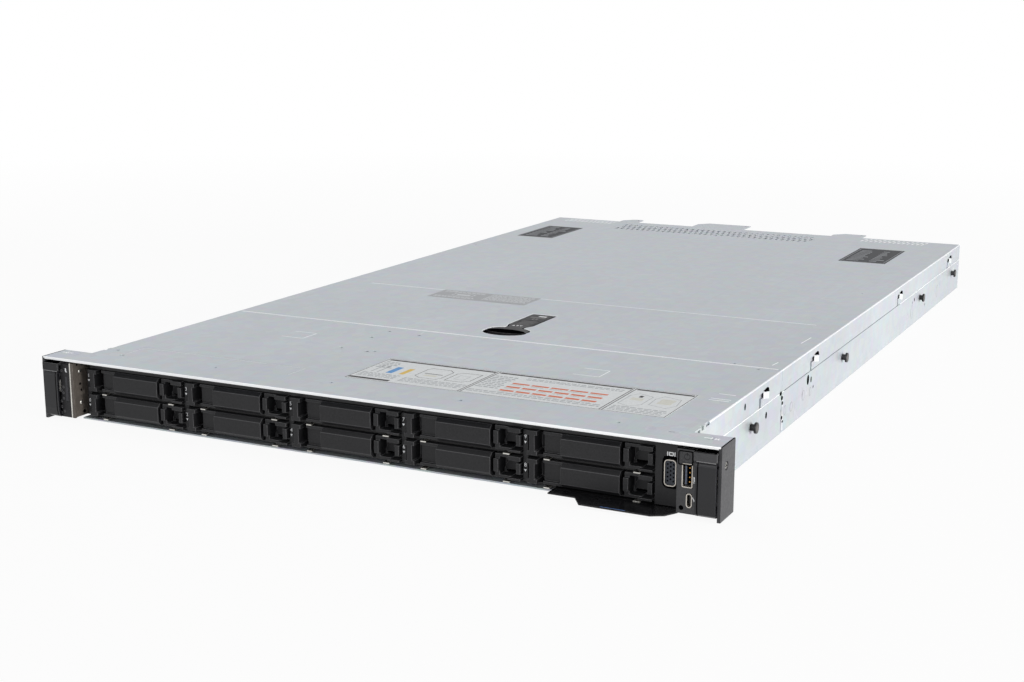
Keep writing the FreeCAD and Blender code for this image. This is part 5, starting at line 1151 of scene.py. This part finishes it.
def tag_line():
    """The thin blue line on the front of the tag."""
    low, high = span("info_tag")
    stripe = bmesh.new()
    slab(stripe, (174.0, 189.0), (low.y + 0.35, low.y + 0.8), (high.z - 0.01, high.z + 0.03))
    settle("tag_line", stripe, [LINE_BLUE], "tag")


def latch_trim():
    """The lever's textured panel, its plain lock signs, the bright slot, a pale line along the tip that is a
    painted highlight, and the finger scoop painted near-black: its dark face with the painted shade of the
    recess.
    """
    low, high = span("cover_latch")
    middle = (low.x + high.x) / 2
    top = high.z
    shape = bmesh.new()
    slab(shape, (middle - 6.4, middle + 6.4), (low.y + 31.4, low.y + 49.4), (top - 0.95, top - 0.3))
    for number in range(11):
        y = low.y + 32.2 + number * 1.6
        slab(shape, (middle - 6.0, middle + 6.0), (y, y + 0.7), (top - 0.32, top - 0.12))
    slab(shape, (middle - 6.0, middle + 6.0), (low.y + 58.4, low.y + 62.2), (top - 0.01, top + 0.05))
    settle("latch_panel", shape, [PANEL], "latch", 0.08)
    marks = bmesh.new()
    for x, y, turn in ((middle - 4.0, low.y + 27.4, 0), (middle + 1.6, low.y + 28.6, 60)):
        made = disc(marks, (x, y, top - 0.01), (0, 0, 1), 1.5, 0.06, 3)
        turn_about(marks, made, turn, "Z", (x, y, top))
    slab(marks, (middle - 1.6, middle - 0.6), (low.y + 26.6, low.y + 29.4), (top - 0.01, top + 0.05))
    slab(marks, (middle - 1.2, middle + 5.0), (low.y + 63.8, low.y + 66.6), (top - 0.01, top + 0.06))
    settle("latch_signs", marks, [MARK], "latch")
    # A pale line of painted highlight along the lever's tip.
    tip = bmesh.new()
    slab(tip, (middle - 8.4, middle + 8.4), (high.y - 0.9, high.y - 0.3), (top - 0.01, top + 0.05))
    settle("latch_tip", tip, [FILM], "latch")
    # The finger scoop: its dark face with the painted shade of the recess.
    scoop = bmesh.new()
    made = disc(scoop, (0, 0, 0), (0, 0, 1), 1.0, 0.06, 40)
    bmesh.ops.scale(scoop, vec=(14.9, 6.4, 1), verts=made)
    bmesh.ops.translate(scoop, vec=(middle, low.y + 7.0, top - 0.01), verts=made)
    settle("latch_scoop", scoop, [SHADE_BLACK], "latch")


def rear_fittings():
    """Fan guards, inlet frames, lights and port details at the rear."""
    face = span("rear_panel")[1].y
    supply_pitch = 368.0
    middle = 21.1
    for side, shift in (("right", 0.0), ("left", -supply_pitch)):
        supply = side + "_supply"
        fan = 171.5 + shift
        inlet = 199.5 + shift
        guard = bmesh.new()
        for radius in (4.0, 7.4, 10.8):
            made = bmesh.ops.create_circle(guard, cap_ends=False, segments=32, radius=radius)["verts"]
            loop = each_once(edge for vert in made for edge in vert.link_edges)
            inner = bmesh.ops.extrude_edge_only(guard, edges=loop)["geom"]
            moved = [item for item in inner if isinstance(item, bmesh.types.BMVert)]
            bmesh.ops.scale(guard, vec=((radius - 0.9) / radius,) * 2 + (1,), verts=moved)
        bmesh.ops.solidify(guard, geom=guard.faces[:], thickness=0.9)
        turn_about(guard, guard.verts, 90, "X")
        bmesh.ops.translate(guard, vec=(fan, face - 0.6, middle), verts=guard.verts)
        settle(side + "_fan_guard", guard, [BRIGHT], supply, 0.1)
        frame_ring = bmesh.new()
        rim(frame_ring, (inlet, middle), face - 0.3, face + 0.7, (27.0, 20.0), 1.6, 2.0)
        settle(side + "_inlet_frame", frame_ring, [INSERT], supply, 0.15)
        light = bmesh.new()
        disc(light, (inlet + 10.6, face - 0.2, middle + 14.4), (0, 1, 0), 1.4, 0.5, 20)
        settle(side + "_supply_light", light, [LENS], supply, 0.15)
    contacts = bmesh.new()
    for place in (-118, -62, -44):
        for number in range(8):
            x = place - 3.6 + number * 1.03
            slab(contacts, (x - 0.2, x + 0.2), (face - 11, face - 3), (15.4, 15.9))
    settle("jack_contacts", contacts, [GOLD], "chassis")
    port_face = span("rear_ports")[1].y
    tongues = bmesh.new()
    for left in (17.5, 38.0):
        slab(tongues, (left + 1.2, left + 11.8), (port_face - 0.02, port_face + 0.12), (7.0, 9.0))
    settle("rear_port_tongues", tongues, [TONGUE], "chassis")
    display = bmesh.new()
    slab(display, (-9.6, 8.6), (port_face - 0.02, port_face + 0.1), (7.4, 16.0))
    settle("rear_display_face", display, [INSERT], "chassis", 0.05)


def seen_rays(nodes, links):
    """One for rays from the camera, from mirrors and through glass, and nought for all others."""
    rays = nodes.new("ShaderNodeLightPath")
    seen = rays.outputs["Is Camera Ray"]
    for kind in ("Is Glossy Ray", "Is Transmission Ray"):
        either = nodes.new("ShaderNodeMath")
        either.operation = "MAXIMUM"
        links.new(seen, either.inputs[0])
        links.new(rays.outputs[kind], either.inputs[1])
        seen = either.outputs[0]
    return seen


def floor():
    """A plain pale floor that stays white to the camera and to reflections, and keeps the shadow."""
    bpy.ops.mesh.primitive_plane_add(size=40, location=(0, 0, -0.0003))
    ground = bpy.context.object
    ground.name = "studio_floor"
    material = bpy.data.materials.new("studio_white")
    material.use_nodes = True
    nodes = material.node_tree.nodes
    links = material.node_tree.links
    shader = nodes["Principled BSDF"]
    shader.inputs["Base Color"].default_value = (0.82, 0.82, 0.82, 1)
    shader.inputs["Roughness"].default_value = 0.8
    shader.inputs["Specular IOR Level"].default_value = 0.0
    glow = nodes.new("ShaderNodeEmission")
    glow.inputs["Strength"].default_value = 1.0
    share = nodes.new("ShaderNodeMath")
    share.operation = "MULTIPLY"
    place = nodes.new("ShaderNodeTexCoord")
    away = nodes.new("ShaderNodeVectorMath")
    away.operation = "LENGTH"
    fade = nodes.new("ShaderNodeMapRange")
    fade.inputs["From Min"].default_value = 0.9
    fade.inputs["From Max"].default_value = 2.0
    fade.inputs["To Min"].default_value = 0.92
    fade.inputs["To Max"].default_value = 1.0
    links.new(place.outputs["Object"], away.inputs[0])
    links.new(away.outputs["Value"], fade.inputs["Value"])
    links.new(fade.outputs["Result"], share.inputs[1])
    links.new(seen_rays(nodes, links), share.inputs[0])
    mixer = nodes.new("ShaderNodeMixShader")
    links.new(share.outputs[0], mixer.inputs["Fac"])
    links.new(shader.outputs[0], mixer.inputs[1])
    links.new(glow.outputs[0], mixer.inputs[2])
    links.new(mixer.outputs[0], nodes["Material Output"].inputs["Surface"])
    ground.data.materials.append(material)


def surroundings(level):
    """White to the camera and to reflections, and a plain level of light for everything else."""
    world = bpy.data.worlds.new("studio")
    bpy.context.scene.world = world
    world.use_nodes = True
    nodes = world.node_tree.nodes
    links = world.node_tree.links
    strength = nodes.new("ShaderNodeMapRange")
    strength.inputs["To Min"].default_value = level
    strength.inputs["To Max"].default_value = 1.0
    links.new(seen_rays(nodes, links), strength.inputs["Value"])
    links.new(strength.outputs["Result"], nodes["Background"].inputs["Strength"])
    nodes["Background"].inputs["Color"].default_value = (1, 1, 1, 1)


def lamp(name, place, target, size, watts, tint=(1, 1, 1)):
    """A soft rectangular lamp that looks at a place."""
    data = bpy.data.lights.new(name, "AREA")
    data.shape = "RECTANGLE"
    data.size, data.size_y = size
    data.energy = watts
    data.color = tint
    holder = bpy.data.objects.new(name, data)
    holder.location = place
    holder.rotation_mode = "QUATERNION"
    holder.rotation_quaternion = (Vector(target) - Vector(place)).to_track_quat("-Z", "Y")
    bpy.context.scene.collection.objects.link(holder)


def camera():
    """The photograph's view: place, aim and focal length."""
    data = bpy.data.cameras.new("photo_view")
    data.sensor_width = 36.0
    data.lens = 53.795
    data.clip_start = 0.05
    data.clip_end = 100
    holder = bpy.data.objects.new("photo_view", data)
    holder.location = (0.49615, -0.77668, 0.27676)
    holder.rotation_mode = "QUATERNION"
    aim = Vector((-0.44053, 0.87112, -0.21696))
    holder.rotation_quaternion = aim.to_track_quat("-Z", "Y")
    bpy.context.scene.collection.objects.link(holder)
    bpy.context.scene.camera = holder


def main():
    """Dress the frame, add the labels and fittings, and light the stage."""
    inner_nodes()
    front_strip()
    bay_top()
    main_top()
    tray_sides()
    ears()
    plain_nodes()
    service_label()
    grey_label()
    corner_labels()
    bay_marks()
    display_port()
    service_ports()
    status_side()
    side_marks()
    strip_signs()
    slam_creases()
    tag_line()
    latch_trim()
    rear_fittings()
    floor()
    surroundings(level=0.41)
    lamp("right_key", (2.9, 0.0, 0.45), (0.2, 0.35, 0.0), (2.0, 0.8), 108, (1.0, 0.985, 0.955))
    lamp("front_fill", (0.4, -2.6, 0.9), (0.1, 0, 0), (2.2, 1.0), 23)
    lamp("top_soft", (-1.5, 0.5, 2.2), (-0.2, 0.2, 0), (1.6, 1.6), 11)
    camera()
    bpy.context.scene.view_settings.view_transform = "Standard"


main()
